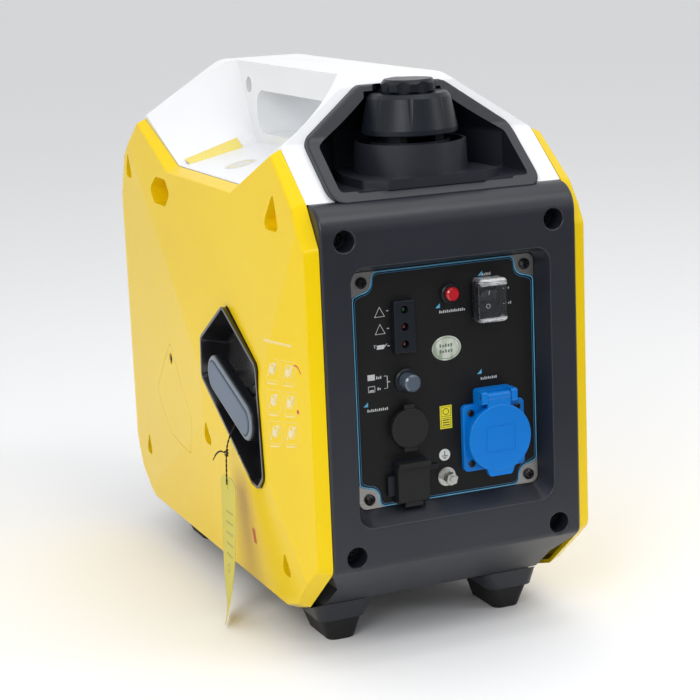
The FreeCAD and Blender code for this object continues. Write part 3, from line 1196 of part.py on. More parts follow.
def hang_tag():
    """A paper tag, bowed and slightly twisted along its length, clipped at its top corners."""
    tag = Part.makeLoft([tag_section(drop) for drop in (1.0, 0.66, 0.33, 0.0)], True, False)
    for side in (-1, 1):
        y = TAG_Y + side * TAG_WIDTH / 2
        clip = [(y - side * 7, TAG_TOP_Z + 1), (y + side * 3, TAG_TOP_Z + 1), (y + side * 3, TAG_TOP_Z - 8)]
        tag = tag.cut(extrude(outline(clip, 0, on_yz(TAG_X - 20)), x=40))
    z = TAG_TOP_Z - TAG_HOLE_DROP
    return tag.cut(rod(2.0, (TAG_X - 20, TAG_Y, z), (TAG_X + 20, TAG_Y, z)))


STRING_ROUTE = [(-CREST + 8.5, 139.5, 171.0), (-CREST + 5.8, 141.5, 163.0), (-CREST + 1.5, 143.5, 155.5),
                (-CREST - 2.6, 145.0, 147.5), (-CREST - 5.4, 145.6, 138.5), (-CREST - 6.8, 144.5, 129.0),
                (-CREST - 7.9, 142.0, 120.0), (-CREST - 9.4, 139.0, 111.0)]


def rounded_route(route):
    """Straight runs joined by tangent arcs, each as large as its two runs allow."""
    points = [V(*p) for p in route]
    edges = []
    start = points[0]
    for before, corner, after in zip(points, points[1:], points[2:]):
        back, ahead = (before - corner), (after - corner)
        reach = 0.45 * min(back.Length, ahead.Length)
        back.normalize()
        ahead.normalize()
        half = back.getAngle(ahead) / 2
        radius = reach * math.tan(half)
        entry, leave = corner + back * reach, corner + ahead * reach
        middle = corner + (back + ahead).normalize() * (radius / math.sin(half) - radius)
        edges.append(Part.LineSegment(start, entry).toShape())
        edges.append(Part.Arc(entry, middle, leave).toShape())
        print("bend radius", round(radius, 1))
        start = leave
    edges.append(Part.LineSegment(start, points[-1]).toShape())
    return Part.Wire(edges)


def tag_string():
    path = rounded_route(STRING_ROUTE)
    first = V(*STRING_ROUTE[1]) - V(*STRING_ROUTE[0])
    section = Part.Wire(Part.makeCircle(STRING_RADIUS, V(*STRING_ROUTE[0]), first))
    tube = path.makePipeShell([section], True, False)
    print("string", round(path.Length, 1), "volume ratio",
          round(tube.Volume / (math.pi * STRING_RADIUS ** 2 * path.Length), 3))
    return tube


# ---------------------------------------------------------------- make and save every piece
rimmed = soften_rim(cover_form(0.0), 1.6).cut(cover_form(WALL))
plain_cover = rimmed
for slot in SCREW_SLOTS + [HANDLE_SLOT]:
    plain_cover = sink(plain_cover, slot)
left = mirrored(maintenance_opening(plain_cover))
left = left.cut(slab_x(RECESS, RECESS_CORNERS, -CREST - 5, -SEAM + 5))
save("left_side_cover", left)
save("right_side_cover", dial_pocket(plain_cover))
save("maintenance_cover", mirrored(maintenance_cover(rimmed)))
save("maintenance_screw", mirrored(screw(crest_height(306, 176) - WALL + 0.2, 306, 176, 4.2, 2.4, 2.0, 8.0, (1, 0, 0))))
save("starter_recess", starter_recess())
save("rope_guide", rope_guide())
save("starter_grip", starter_grip())
save("grip_insert", grip_insert())
save("starter_rope", starter_rope())
save("fuel_dial", fuel_dial())

save("front_bezel", drilled_for_cover_screws(end_moulding(FRONT_CHIN)))
save("rear_bezel", drilled_for_cover_screws(end_for_end(end_moulding(REAR_CHIN))))
front_screws = [screw(x, POCKET_DEPTH, z, 4.6, 3.4, 2.2, 14.0) for x, z in screw_pockets(FRONT_CHIN)]
rear_screws = [screw(x, POCKET_DEPTH, z, 4.6, 3.4, 2.2, 14.0) for x, z in screw_pockets(REAR_CHIN)]
save("front_bezel_screws", *front_screws)

cover_screws = []
for slot in SCREW_SLOTS:
    y, z = slot_centre(slot)
    cover_screws.append(screw(crest_height(y, z) - slot[2], y, z, 4.4, 3.0, 2.2, 8.0, (1, 0, 0)))
save("side_cover_screws", *cover_screws, *[mirrored(s) for s in cover_screws])
handle_bolts = []
y, z = slot_centre(HANDLE_SLOT)
handle_bolts.append(screw(crest_height(y, z) - HANDLE_SLOT[2], y, z, 4.8, 5.5, 2.3, 14.0, (1, 0, 0)))
handle_bolts.append(screw(GRIP_BAR_HALF - 11, *HANDLE_BOLT, 4.8, 4.0, 2.3, 1.5, (1, 0, 0)))
save("handle_bolts", *handle_bolts, *[mirrored(s) for s in handle_bolts])

save("top_cover", top_cover())
save("filler_surround", filler_surround())
save("fuel_cap", fuel_cap())
save("cap_vent_knob", cap_vent_knob())
save("base_tray", base_tray())
save("rubber_feet", *[boot(side, *ys) for side in (-1, 1) for ys in FEET_Y])

save("control_panel", control_panel())
panel_screws = [screw(x, PANEL_DEPTH, z, 4.1, 2.6, 1.55, 10.0) for x, z in PANEL_SCREWS]
save("panel_screws", *panel_screws, *socket_screws())
save("led_block", led_block())
save("pilot_lights", *pilot_lights())
save("button_collars", *button_collars())
save("reset_button", push_button(RESET, 5.0, 7.6))
save("breaker_button", push_button(BREAKER, 6.25, 0.6))
save("eco_switch_frame", eco_switch_frame())
save("eco_rocker", eco_rocker())
save("eco_clear_cover", eco_clear_cover())
save("dc_socket", dc_socket())
save("dc_socket_cap", dc_socket_cap())
save("port_housing", port_housing())
save("port_cover", port_cover())
save("ac_socket_base", ac_socket_base())
save("ac_socket_lid", ac_socket_lid())
save("ac_lid_pin", ac_lid_pin())
save("ground_stud", ground_stud())
save("ground_nuts", *ground_nuts())

save("exhaust_grille", exhaust_grille())
save("rear_screws", *[end_for_end(s) for s in rear_screws + panel_screws])
save("tailpipe", tailpipe())
save("muffler", muffler())
save("crankcase", crankcase())
save("cylinder", cylinder())
save("spark_plug", spark_plug())
save("crankshaft", crankshaft())
save("flywheel_rotor", flywheel_rotor())
save("stator", stator())
save("cooling_fan", cooling_fan())
save("recoil_housing", recoil_housing())
save("recoil_pulley", recoil_pulley())
save("engine_mounts", *engine_mounts())
save("carburettor", carburettor())
save("air_filter_box", air_filter_box())
save("fuel_tank", fuel_tank())
save("inverter_module", inverter_module())
save("hang_tag", hang_tag())
save("tag_string", tag_string())
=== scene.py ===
"""Portable generator: the finished look of every piece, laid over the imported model."""
import math
import bmesh
import bpy
from mathutils import Matrix, Vector
from mathutils.bvhtree import BVHTree


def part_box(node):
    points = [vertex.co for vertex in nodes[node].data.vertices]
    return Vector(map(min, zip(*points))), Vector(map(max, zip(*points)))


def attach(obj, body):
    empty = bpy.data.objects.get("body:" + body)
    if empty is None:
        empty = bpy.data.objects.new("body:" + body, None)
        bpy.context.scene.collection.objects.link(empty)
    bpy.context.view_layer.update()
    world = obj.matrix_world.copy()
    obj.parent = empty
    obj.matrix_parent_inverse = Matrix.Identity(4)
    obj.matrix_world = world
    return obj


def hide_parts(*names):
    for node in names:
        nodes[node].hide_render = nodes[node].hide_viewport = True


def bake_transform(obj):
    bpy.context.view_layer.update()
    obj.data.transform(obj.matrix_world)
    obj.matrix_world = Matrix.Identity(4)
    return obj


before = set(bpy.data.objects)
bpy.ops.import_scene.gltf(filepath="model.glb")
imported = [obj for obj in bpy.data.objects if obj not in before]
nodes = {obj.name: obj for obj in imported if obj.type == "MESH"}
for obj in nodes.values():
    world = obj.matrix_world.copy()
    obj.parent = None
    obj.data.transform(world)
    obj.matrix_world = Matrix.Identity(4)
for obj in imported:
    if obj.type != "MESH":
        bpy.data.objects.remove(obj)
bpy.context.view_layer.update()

# ------------------------------------------------------------------ studio
# A wide pale floor with painted shade well in front of the object, under a broad lamp at the left, a soft
# one overhead, a tall one at the right and a strip above the front. The camera stands a metre and a
# half away, to the left of the panel, and is tipped a little.
LAMPS = {"light_left": ((-1.25, -1.35, 1.25), (0.9, 0.9), 15),
         "light_top": ((0.2, -0.2, 1.9), (1.4, 1.4), 7),
         "light_right": ((1.6, -1.5, 1.1), (0.5, 1.2), 7),
         "light_strip": ((0.5, -1.2, 1.75), (1.3, 0.4), 7)}
LAMPS_AIM = Vector((0, 0, 0.2))
CAMERA_PLACE = (-0.5955, -1.4501, 0.5293)
CAMERA_AZIMUTH, CAMERA_ELEVATION, CAMERA_ROLL = (math.radians(a) for a in (-22.78, 12.44, -2.44))
bpy.context.scene.view_settings.view_transform = "Standard"


def mesh_piece(name, made, finish_of):
    """Turns a bmesh into an object with one finish."""
    mesh = bpy.data.meshes.new(name)
    made.to_mesh(mesh)
    made.free()
    mesh.materials.append(finish_of)
    piece = bpy.data.objects.new(name, mesh)
    bpy.context.scene.collection.objects.link(piece)
    return piece


def node(tree, kind, inputs=(), **settings):
    """Adds a shader node; a value given for an input is a link when it is a socket."""
    made = tree.nodes.new(kind)
    for name, value in settings.items():
        setattr(made, name, value)
    for name, value in dict(inputs).items():
        if isinstance(value, bpy.types.NodeSocket):
            tree.links.new(value, made.inputs[name])
        else:
            made.inputs[name].default_value = value
    return made


def finish(name, colour, roughness, **sockets):
    """A material with its shader's own values set; returns it with its tree and shader."""
    made = bpy.data.materials.new(name)
    made.use_nodes = True
    shader = made.node_tree.nodes["Principled BSDF"]
    shader.inputs["Base Color"].default_value = (*colour, 1.0)
    shader.inputs["Roughness"].default_value = roughness
    for socket, value in sockets.items():
        shader.inputs[socket.replace("_", " ")].default_value = value
    return made, made.node_tree, shader


def into(tree, shader, **sockets):
    """Links values to the shader's sockets of those names."""
    for name, value in sockets.items():
        tree.links.new(value, shader.inputs[name.replace("_", " ")])


def along(tree, axis):
    """How far the point being shaded is along one axis of its object, in metres."""
    where = node(tree, "ShaderNodeTexCoord").outputs["Object"]
    return node(tree, "ShaderNodeSeparateXYZ", {"Vector": where}).outputs[axis]


def noise(tree, scale, detail=2.0, stretch=(1.0, 1.0, 1.0), rough=0.5):
    """Cloudy noise in object space, from 0 to 1, with its features a scale-th of a metre wide."""
    where = node(tree, "ShaderNodeTexCoord").outputs["Object"]
    placed = node(tree, "ShaderNodeMapping", {"Vector": where, "Scale": stretch}).outputs[0]
    return node(tree, "ShaderNodeTexNoise", {"Vector": placed, "Scale": scale, "Detail": detail,
                                             "Roughness": rough}).outputs["Fac"]


def spread(tree, value, low, high, to_low=0.0, to_high=1.0):
    """Carries a value from one range to another and holds it inside that."""
    return node(tree, "ShaderNodeMapRange", {"Value": value, "From Min": low, "From Max": high,
                                             "To Min": to_low, "To Max": to_high}).outputs[0]


def shaded(tree, value, dark, light):
    """Goes from one colour to another as the value goes from 0 to 1; either may be a socket."""
    ends = [c if isinstance(c, bpy.types.NodeSocket) else (*c, 1.0) for c in (dark, light)]
    return node(tree, "ShaderNodeMix", {"Factor": value, 6: ends[0], 7: ends[1]}, data_type="RGBA").outputs[2]


def floor_paint():
    """Pale paint with faint clouds, and painted shade on the camera's side for the front faces to reflect."""
    pale, tree, shader = finish("studio_floor", (0.93, 0.93, 0.93), 0.75, Specular_IOR_Level=0.2)
    near = node(tree, "ShaderNodeMath", {0: along(tree, "X"), 1: -0.4, 2: along(tree, "Y")},
                operation="MULTIPLY_ADD").outputs[0]
    clouds = shaded(tree, noise(tree, 0.7, 3), (0.94, 0.94, 0.945), (0.97, 0.97, 0.97))
    # Painted shade: the floor turns dark grey on the camera's side, so that faces turned to it reflect
    # darkness.
    into(tree, shader, Base_Color=shaded(tree, spread(tree, near, -0.5, -0.85), clouds, (0.16, 0.16, 0.165)))
    return pale


def studio():
    made = bmesh.new()
    bmesh.ops.create_grid(made, x_segments=2, y_segments=2, size=40.0)
    floor = mesh_piece("studio_floor", made, floor_paint())
    for name, (place, size, watts) in LAMPS.items():
        lamp = bpy.data.lights.new(name, "AREA")
        lamp.shape = "RECTANGLE"
        lamp.size, lamp.size_y = size
        lamp.energy = watts
        holder = bpy.data.objects.new(name, lamp)
        holder.location = place
        holder.rotation_euler = (LAMPS_AIM - Vector(place)).to_track_quat("-Z", "Y").to_euler()
        bpy.context.scene.collection.objects.link(holder)
    world = bpy.data.worlds.new("studio_air")
    world.use_nodes = True
    bpy.context.scene.world = world
    sky = world.node_tree
    way = node(sky, "ShaderNodeSeparateXYZ", {"Vector": node(sky, "ShaderNodeTexCoord").outputs["Generated"]})
    rear = spread(sky, way.outputs["Y"], -0.6, 0.7)
    back = sky.nodes["Background"]
    sky.links.new(shaded(sky, rear, (0.46, 0.47, 0.49), (1.0, 1.0, 1.0)), back.inputs["Color"])
    back.inputs["Strength"].default_value = 0.95


def camera():
    level = math.cos(CAMERA_ELEVATION)
    back = Vector((math.sin(CAMERA_AZIMUTH) * level, -math.cos(CAMERA_AZIMUTH) * level,
                   math.sin(CAMERA_ELEVATION)))
    right = (-back).cross(Vector((0, 0, 1))).normalized()
    up = right.cross(-back)
    across = right * math.cos(CAMERA_ROLL) + up * math.sin(CAMERA_ROLL)
    above = up * math.cos(CAMERA_ROLL) - right * math.sin(CAMERA_ROLL)
    optics = bpy.data.cameras.new("camera")
    optics.lens = 100.67
    optics.sensor_width = 36.0
    optics.clip_end = 200.0
    eye = bpy.data.objects.new("camera", optics)
    turn = Matrix((across, above, back)).transposed()
    eye.matrix_world = Matrix.Translation(CAMERA_PLACE) @ turn.to_4x4()
    bpy.context.scene.collection.objects.link(eye)
    bpy.context.scene.camera = eye


studio()
camera()

# ------------------------------------------------------------------ tag string, knot and paper tag
# A limp two-ply black string hangs from the neck of the starter grip and holds a paper tag. It is
# tied in one small knot half-way down, with two short loose ends. The tag is waxed yellow paper.
STRING_RADIUS = 0.0007
STRING_PITCH = 0.0075
STRING_ROUTE = [(-0.1115, -0.0855, 0.1710), (-0.1142, -0.0835, 0.1630), (-0.1185, -0.0815, 0.1555),
                (-0.1226, -0.0800, 0.1475), (-0.1254, -0.0794, 0.1385), (-0.1268, -0.0805, 0.1290),
                (-0.1279, -0.0830, 0.1200), (-0.1294, -0.0860, 0.1110)]
KNOT_HEIGHT = 0.1340
LOOSE_ENDS = ((0.0130, 0.0085, 0.0058), (0.0120, 0.0050, 0.0046))
TAG_PRINT_BOTTOM, TAG_PRINT_TOP = 0.050, 0.096


def smooth_line(name, route):
    """A NURBS curve with these control points, and the points along it."""
    curve = bpy.data.curves.new(name, "CURVE")
    curve.dimensions = "3D"
    spline = curve.splines.new("NURBS")
    spline.points.add(len(route) - 1)
    for point, place in zip(spline.points, route):
        point.co = (*place, 1.0)
    spline.order_u = 3
    spline.use_endpoint_u = True
    spline.resolution_u = 24
    holder = bpy.data.objects.new(name, curve)
    bpy.context.scene.collection.objects.link(holder)
    bpy.context.view_layer.update()
    mesh = bpy.data.meshes.new_from_object(holder.evaluated_get(bpy.context.evaluated_depsgraph_get()))
    line = [v.co.copy() for v in mesh.vertices]
    bpy.data.objects.remove(holder)
    bpy.data.meshes.remove(mesh)
    return line


def strand(made, line, radius, offset=0.0, pitch=1.0, phase=0.0, sides=8):
    """Sweeps a round section along a line, or along a helix of that pitch round it, into a bmesh."""
    side = (line[1] - line[0]).orthogonal().normalized()
    rings = []
    gone = 0.0
    for i, place in enumerate(line):
        ahead = (line[min(i + 1, len(line) - 1)] - line[max(i - 1, 0)]).normalized()
        side = (side - ahead * side.dot(ahead)).normalized()
        other = ahead.cross(side)
        gone += (place - line[i - 1]).length if i else 0.0
        turn = phase + math.tau * gone / pitch
        centre = place + (side * math.cos(turn) + other * math.sin(turn)) * offset
        rings.append([made.verts.new(centre + (side * math.cos(a) + other * math.sin(a)) * radius)
                      for a in (math.tau * k / sides for k in range(sides))])
    for low, high in zip(rings, rings[1:]):
        for k in range(sides):
            made.faces.new((low[k], low[(k + 1) % sides], high[(k + 1) % sides], high[k]))
    made.faces.new(reversed(rings[0]))
    made.faces.new(rings[-1])


def finer(line, parts):
    """The same line with each step cut into that many equal ones."""
    return [a.lerp(b, k / parts) for a, b in zip(line, line[1:]) for k in range(parts)] + [line[-1]]


def smooth(piece, angle=40.0):
    """Smooth shading, except over edges sharper than the angle."""
    piece.data.polygons.foreach_set("use_smooth", [True] * len(piece.data.polygons))
    piece.data.set_sharp_from_angle(angle=math.radians(angle))
    return piece


def bumped(tree, shader, height, depth, strength=1.0):
    """Lets a height, in metres at its greatest, tilt the shader's normal."""
    made = node(tree, "ShaderNodeBump", {"Height": height, "Distance": depth, "Strength": strength})
    into(tree, shader, Normal=made.outputs[0])


def twine():
    made, tree, shader = finish("twine", (0.012, 0.009, 0.008), 0.8)
    fibre = noise(tree, 2600, 3)
    into(tree, shader, Base_Color=shaded(tree, fibre, (0.004, 0.003, 0.003), (0.03, 0.022, 0.018)))
    bumped(tree, shader, fibre, 0.0001, 0.6)
    return made


def tied_knot(centre):
    """Two close turns round the string, and loose ends that each have a reach, a drop and a lean."""
    made = bmesh.new()
    coil = [centre + Vector((0.0012 * math.cos(a), 0.0014 * math.sin(a), 0.00042 * a - 0.0024))
            for a in (math.tau * k / 14 for k in range(29))]
    strand(made, coil, 0.00055)
    for reach, drop, lean in LOOSE_ENDS:
        end = [centre + Vector((-0.0008 - lean * t, reach * t, 0.0022 * math.sin(2.6 * t) - drop * t * t))
               for t in (k / 12 for k in range(13))]
        strand(made, end, 0.0004)
    return made


TWINE = twine()
string_line = smooth_line("string_line", STRING_ROUTE)
plies = bmesh.new()
for phase in (0.0, math.pi):
    strand(plies, finer(string_line, 2), STRING_RADIUS * 0.55, STRING_RADIUS * 0.45, STRING_PITCH, phase)
string = smooth(mesh_piece("string", plies, TWINE))
knot_centre = min(string_line, key=lambda p: abs(p.z - KNOT_HEIGHT))
knot = smooth(mesh_piece("string_knot", tied_knot(knot_centre), TWINE))
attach(string, "starter_handle")
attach(knot, "starter_handle")
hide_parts("tag_string")


def times(tree, first, second):
    return node(tree, "ShaderNodeMath", {0: first, 1: second}, operation="MULTIPLY").outputs[0]


def waxed_paper():
    """Pale yellow paper with faint fibres and a few rows of faint print across both faces."""
    made, tree, shader = finish("waxed_paper", (0.6, 0.52, 0.09), 0.6, Specular_IOR_Level=0.25)
    paper = shaded(tree, noise(tree, 900, 4, (1, 1, 0.3)), (0.56, 0.48, 0.07), (0.68, 0.60, 0.12))
    where = node(tree, "ShaderNodeTexCoord").outputs["Object"]
    quarter = math.radians(90)
    upright = node(tree, "ShaderNodeMapping", {"Vector": where, "Rotation": (0, quarter, quarter)}).outputs[0]
    rows = node(tree, "ShaderNodeTexBrick", {"Vector": upright, "Scale": 150.0, "Mortar Size": 0.24,
                                             "Brick Width": 0.55, "Row Height": 0.45, "Bias": -0.2,
                                             "Color1": (1, 1, 1, 1), "Color2": (0, 0, 0, 1),
                                             "Mortar": (0, 0, 0, 1)}).outputs["Color"]
    height = along(tree, "Z")
    printed_part = times(tree, spread(tree, height, TAG_PRINT_BOTTOM, TAG_PRINT_BOTTOM + 0.004),
                         spread(tree, height, TAG_PRINT_TOP - 0.004, TAG_PRINT_TOP, 1.0, 0.0))
    faint = times(tree, times(tree, rows, printed_part), 0.55)
    into(tree, shader, Base_Color=shaded(tree, faint, paper, (0.12, 0.10, 0.03)))
    bumped(tree, shader, noise(tree, 60, 3), 0.0006, 0.5)
    return made


def dress(finish_of, *names):
    """Gives CAD nodes their finish."""
    for name in names:
        slots = nodes[name].data.materials
        slots.clear()
        slots.append(finish_of)


dress(waxed_paper(), "hang_tag")


# ------------------------------------------------------------------ side covers
# Two drafted covers, injection moulded in glossy yellow, each hooked over the bezels and held by
# five screws in sunk slots. The left one has the maintenance cover and the starter recess in it.
def moulded(name, dark, light, roughness, grain, grain_depth, **sockets):
    """Injection-moulded plastic: slow flow marks in its colour, fine grain and faint wiping marks."""
    made, tree, shader = finish(name, light, roughness, **sockets)
    flow = noise(tree, 7, 3, (1.0, 0.6, 1.4))
    into(tree, shader, Base_Color=shaded(tree, spread(tree, flow, 0.35, 0.65), dark, light))
    wiped = noise(tree, 55, 4, (1.0, 0.25, 1.0), 0.6)
    into(tree, shader, Roughness=spread(tree, wiped, 0.3, 0.75, roughness * 0.94, roughness * 1.08))
    bumped(tree, shader, noise(tree, grain, 2), grain_depth)
    return made


YELLOW = moulded("yellow_moulding", (0.835, 0.580, 0.002), (0.86, 0.605, 0.003), 0.25, 260, 0.000003,
                 Coat_Weight=0.06, Coat_Roughness=0.1, Specular_IOR_Level=0.15)
dress(YELLOW, "left_side_cover", "right_side_cover", "maintenance_cover")


def steel_black():
    """Blackened screws, with steel showing where the black has worn."""
    made, tree, shader = finish("black_oxide", (0.02, 0.02, 0.022), 0.38, Metallic=0.7)
    worn = spread(tree, noise(tree, 700, 3), 0.55, 0.75)
    into(tree, shader, Base_Color=shaded(tree, worn, (0.018, 0.018, 0.02), (0.09, 0.09, 0.09)))
    bumped(tree, shader, noise(tree, 2500, 1), 0.00003)
    return made


def zinc():
    """Zinc plate with a fine spangle."""
    made, tree, shader = finish("zinc_plate", (0.62, 0.62, 0.6), 0.3, Metallic=1.0)
    spangle = noise(tree, 420, 4)
    into(tree, shader, Base_Color=shaded(tree, spangle, (0.42, 0.42, 0.40), (0.8, 0.79, 0.76)),
         Roughness=spread(tree, spangle, 0.2, 0.8, 0.22, 0.42))
    bumped(tree, shader, noise(tree, 3000, 1, (1, 8, 1)), 0.00003, 0.7)
    return made


dress(steel_black(), "side_cover_screws", "front_bezel_screws", "rear_screws", "maintenance_screw",
      "panel_screws")
dress(zinc(), "handle_bolts", "ground_stud", "ground_nuts")

# ------------------------------------------------------------------ prints and stickers on the covers
# A faint starting guide is printed in pale ink beside the starter, and a small red mark lower down.
# Two thin stickers lie in the left scoop, and the tag has rows of print. All are plain marks, with
# their places in millimetres from the front face and from the floor, or from the middle.
FRONT = -0.225
WALL_X, SCOOP_Z, TAG_X = -0.115, 0.36, -0.14
INK = 0.00007
STICKER = 0.00015
GUIDE_CORNER = (75.5, 233.0)
ROUND_STICKER = (-73, 226)


def surface_of(name, way):
    """A function that drops a flat point onto a node's surface, looking along the way given."""
    mesh = nodes[name].data
    tree = BVHTree.FromPolygons([v.co for v in mesh.vertices], [p.vertices[:] for p in mesh.polygons])
    way = Vector(way)

    def onto(place):
        hit, normal, _, _ = tree.ray_cast(Vector(place) - way * 0.08, way)
        return hit, normal if normal.dot(way) < 0 else -normal

    return onto


left_face = surface_of("left_side_cover", (1, 0, 0))
scoop_face = surface_of("top_cover", (0, 0, -1))
tag_face = surface_of("hang_tag", (1, 0, 0))


def left_wall(u, v):
    return left_face((WALL_X, u / 1000 + FRONT, v / 1000))


def scoop_floor(u, v):
    return scoop_face((u / 1000, v / 1000 + FRONT, SCOOP_Z))


def tag_side(u, v):
    return tag_face((TAG_X, u / 1000 + FRONT, v / 1000))


def lifted(onto, rise):
    """The same surface, higher by the thickness of what lies on it."""
    def raised(u, v):
        place, normal = onto(u, v)
        return place + normal * rise, normal

    return raised


def patch(made, loop, onto, rise=INK):
    """A flat closed shape laid on a surface, with its edge going down to the surface."""
    spots = [onto(u, v) for u, v in loop]
    top = [made.verts.new(p + n * rise) for p, n in spots]
    low = [made.verts.new(p - n * INK * 0.6) for p, n in spots]
    made.faces.new(top)
    made.faces.new(reversed(low))
    for i in range(len(loop)):
        made.faces.new((top[i - 1], low[i - 1], low[i], top[i]))


def stripe(made, line, width, onto, closed=False, rise=INK):
    """A band of even width along a line, laid on a surface."""
    count = len(line)
    rails = []
    for i, (u, v) in enumerate(line):
        u0, v0 = line[i - 1] if closed or i else line[i]
        u2, v2 = line[(i + 1) % count] if closed or i < count - 1 else line[i]
        ahead = Vector((u2 - u0, v2 - v0)).normalized()
        for s in (-0.5, 0.5):
            p, n = onto(u - ahead.y * width * s, v + ahead.x * width * s)
            rails.append((made.verts.new(p + n * rise), made.verts.new(p - n * INK * 0.6)))
    pairs = [(rails[2 * i], rails[2 * i + 1]) for i in range(count)]
    for i in range(count if closed else count - 1):
        (a, b), (c, d) = pairs[i], pairs[(i + 1) % count]
        for face in ((a[0], c[0], d[0], b[0]), (a[1], b[1], d[1], c[1]), (a[0], a[1], c[1], c[0]),
                     (b[0], d[0], d[1], b[1])):
            made.faces.new(face)
    if not closed:
        for a, b in (pairs[0], pairs[-1]):
            made.faces.new((a[0], b[0], b[1], a[1]))


def circle(u, v, radius, flat=1.0, steps=28, start=0.0, sweep=math.tau):
    """Points round a circle, or along an arc of it; flat under 1 makes it an oval."""
    stop = steps if sweep == math.tau else steps + 1
    turns = [start + sweep * k / steps for k in range(stop)]
    return [(u + radius * math.cos(a), v + radius * flat * math.sin(a)) for a in turns]


def block(u0, u1, v0, v1):
    return [(u0, v0), (u1, v0), (u1, v1), (u0, v1)]


def word(made, u, v, length, onto, height=1.7, step=1.35):
    """A row of small upright bars that stands for a line of lettering."""
    for k in range(max(1, int(length / step))):
        tall = height * (1.0, 0.72, 1.0, 0.86)[k % 4]
        patch(made, block(u + k * step, u + k * step + step * 0.56, v, v + tall), onto)


def ink(name, colour, roughness=0.45):
    """Printing ink, or a sticker's face, a little patchy."""
    made, tree, shader = finish(name, colour, roughness)
    into(tree, shader, Base_Color=shaded(tree, noise(tree, 800, 3), [0.82 * c for c in colour], colour))
    return made


def printed(name, draw, finish_of, body="housing"):
    """Draws a mark into a piece of its own, which rides on a body."""
    made = bmesh.new()
    draw(made)
    bmesh.ops.recalc_face_normals(made, faces=made.faces)
    piece = mesh_piece(name, made, finish_of)
    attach(piece, body)


def filled(*shape):
    """A drawing of one patch."""
    return lambda made: patch(made, *shape)


def lined(*shape):
    """A drawing of one stripe."""
    return lambda made: stripe(made, *shape)


def starting_guide(made):
    """Six small frames with plain figures, under a title row; it leans with the cover's edge."""
    def at(u, v):
        return left_wall(GUIDE_CORNER[0] - u, GUIDE_CORNER[1] + u * 0.06 - v + u * 0.14 * v / 80)

    word(made, 0, -2.5, 46, at, 2.2)
    for row in range(3):
        for column in range(2):
            u, v = 4 + column * 25, 11 + row * 24
            stripe(made, block(u, u + 20, v, v + 17), 0.3, at, True)
            patch(made, circle(u + 9, v + 9, 2.6, 1.2, 14), at)
            patch(made, block(u + 12, u + 15.5, v + 3.0, v + 8.5), at)
            stripe(made, circle(u + 10, v + 8, 4.2 + column, 1.0, 18), 0.5, at, True)
            stripe(made, [(u + 3, v + 14), (u + 8, v + 5), (u + 12, v + 11), (u + 17, v + 3)], 1.0, at)
            word(made, u + 2, v + 18.6, 15, at, 1.4)


def guide_arrow(made):
    """A quarter ring beside the guide's first frames, and a dot below it."""
    stripe(made, circle(25.5, 216.5, 7.5, 1.0, 10, math.radians(70), math.radians(90)), 1.1, left_wall)
    patch(made, circle(25.0, 190.5, 1.7, 1.0, 12), left_wall)


def scoop_words(made):
    for row in range(3):
        word(made, -90, 292.5 + row * 3.7, 38, lifted(scoop_floor, STICKER), 2.0, 2.1)


def tag_marks(made):
    """Rows of small bars on the tag's outer face, with one ring."""
    for row in range(5):
        word(made, 131, 88 - row * 8.5, 17, tag_side, 1.6, 2.0)
    stripe(made, circle(140, 44, 3.2, 1.0, 18), 0.7, tag_side, True)


printed("starting_guide", starting_guide, ink("pale_ink", (0.90, 0.78, 0.48)))
printed("guide_arrow", guide_arrow, ink("red_ink", (0.62, 0.03, 0.02)))
printed("low_mark", filled(block(124.8, 130.6, 64.5, 76.5), left_wall),
        ink("dull_red_ink", (0.66, 0.12, 0.02)))
printed("scoop_sticker", filled(block(-93.5, -47, 290, 304), scoop_floor, STICKER),
        ink("yellow_sticker", (0.9, 0.74, 0.16)))
printed("scoop_lines", scoop_words, ink("grey_ink", (0.32, 0.30, 0.24)))
printed("scoop_round_sticker", filled(circle(*ROUND_STICKER, 12.5), scoop_floor, STICKER),
        ink("silver_sticker", (0.72, 0.72, 0.70), 0.3))
printed("scoop_round_line", lined(circle(*ROUND_STICKER, 9.5), 0.8, lifted(scoop_floor, STICKER), True),
        ink("yellow_ink", (0.85, 0.65, 0.05)))
printed("tag_marks", tag_marks, ink("tag_ink", (0.28, 0.25, 0.07)), "starter_handle")

# ------------------------------------------------------------------ top cover
# One white glossy moulding: hoods at both ends, a scoop at each side and the carrying handle
# between them. Two plated bolts fix it through the handle's bosses.
WHITE = moulded("white_moulding", (0.80, 0.81, 0.825), (0.83, 0.84, 0.855), 0.25, 260, 0.000003,
                Coat_Weight=0.15, Coat_Roughness=0.08, Specular_IOR_Level=0.4)
dress(WHITE, "top_cover")

# ------------------------------------------------------------------ bezels, tray, boots and surround
# Both end mouldings, the tray below and the rim round the filler are blue-black plastic with a
# fine spark-eroded grain. The four boots are plain rubber.
BLACK = moulded("black_moulding", (0.0115, 0.0135, 0.0195), (0.0150, 0.0175, 0.025), 0.36, 2100, 0.00005)
dress(BLACK, "front_bezel", "rear_bezel", "base_tray", "filler_surround", "exhaust_grille")
RUBBER = moulded("rubber", (0.005, 0.005, 0.0055), (0.009, 0.009, 0.0095), 0.6, 1500, 0.00008,
                 Specular_IOR_Level=0.35)
dress(RUBBER, "rubber_feet", "dc_socket_cap", "port_cover", "engine_mounts", "spark_plug")

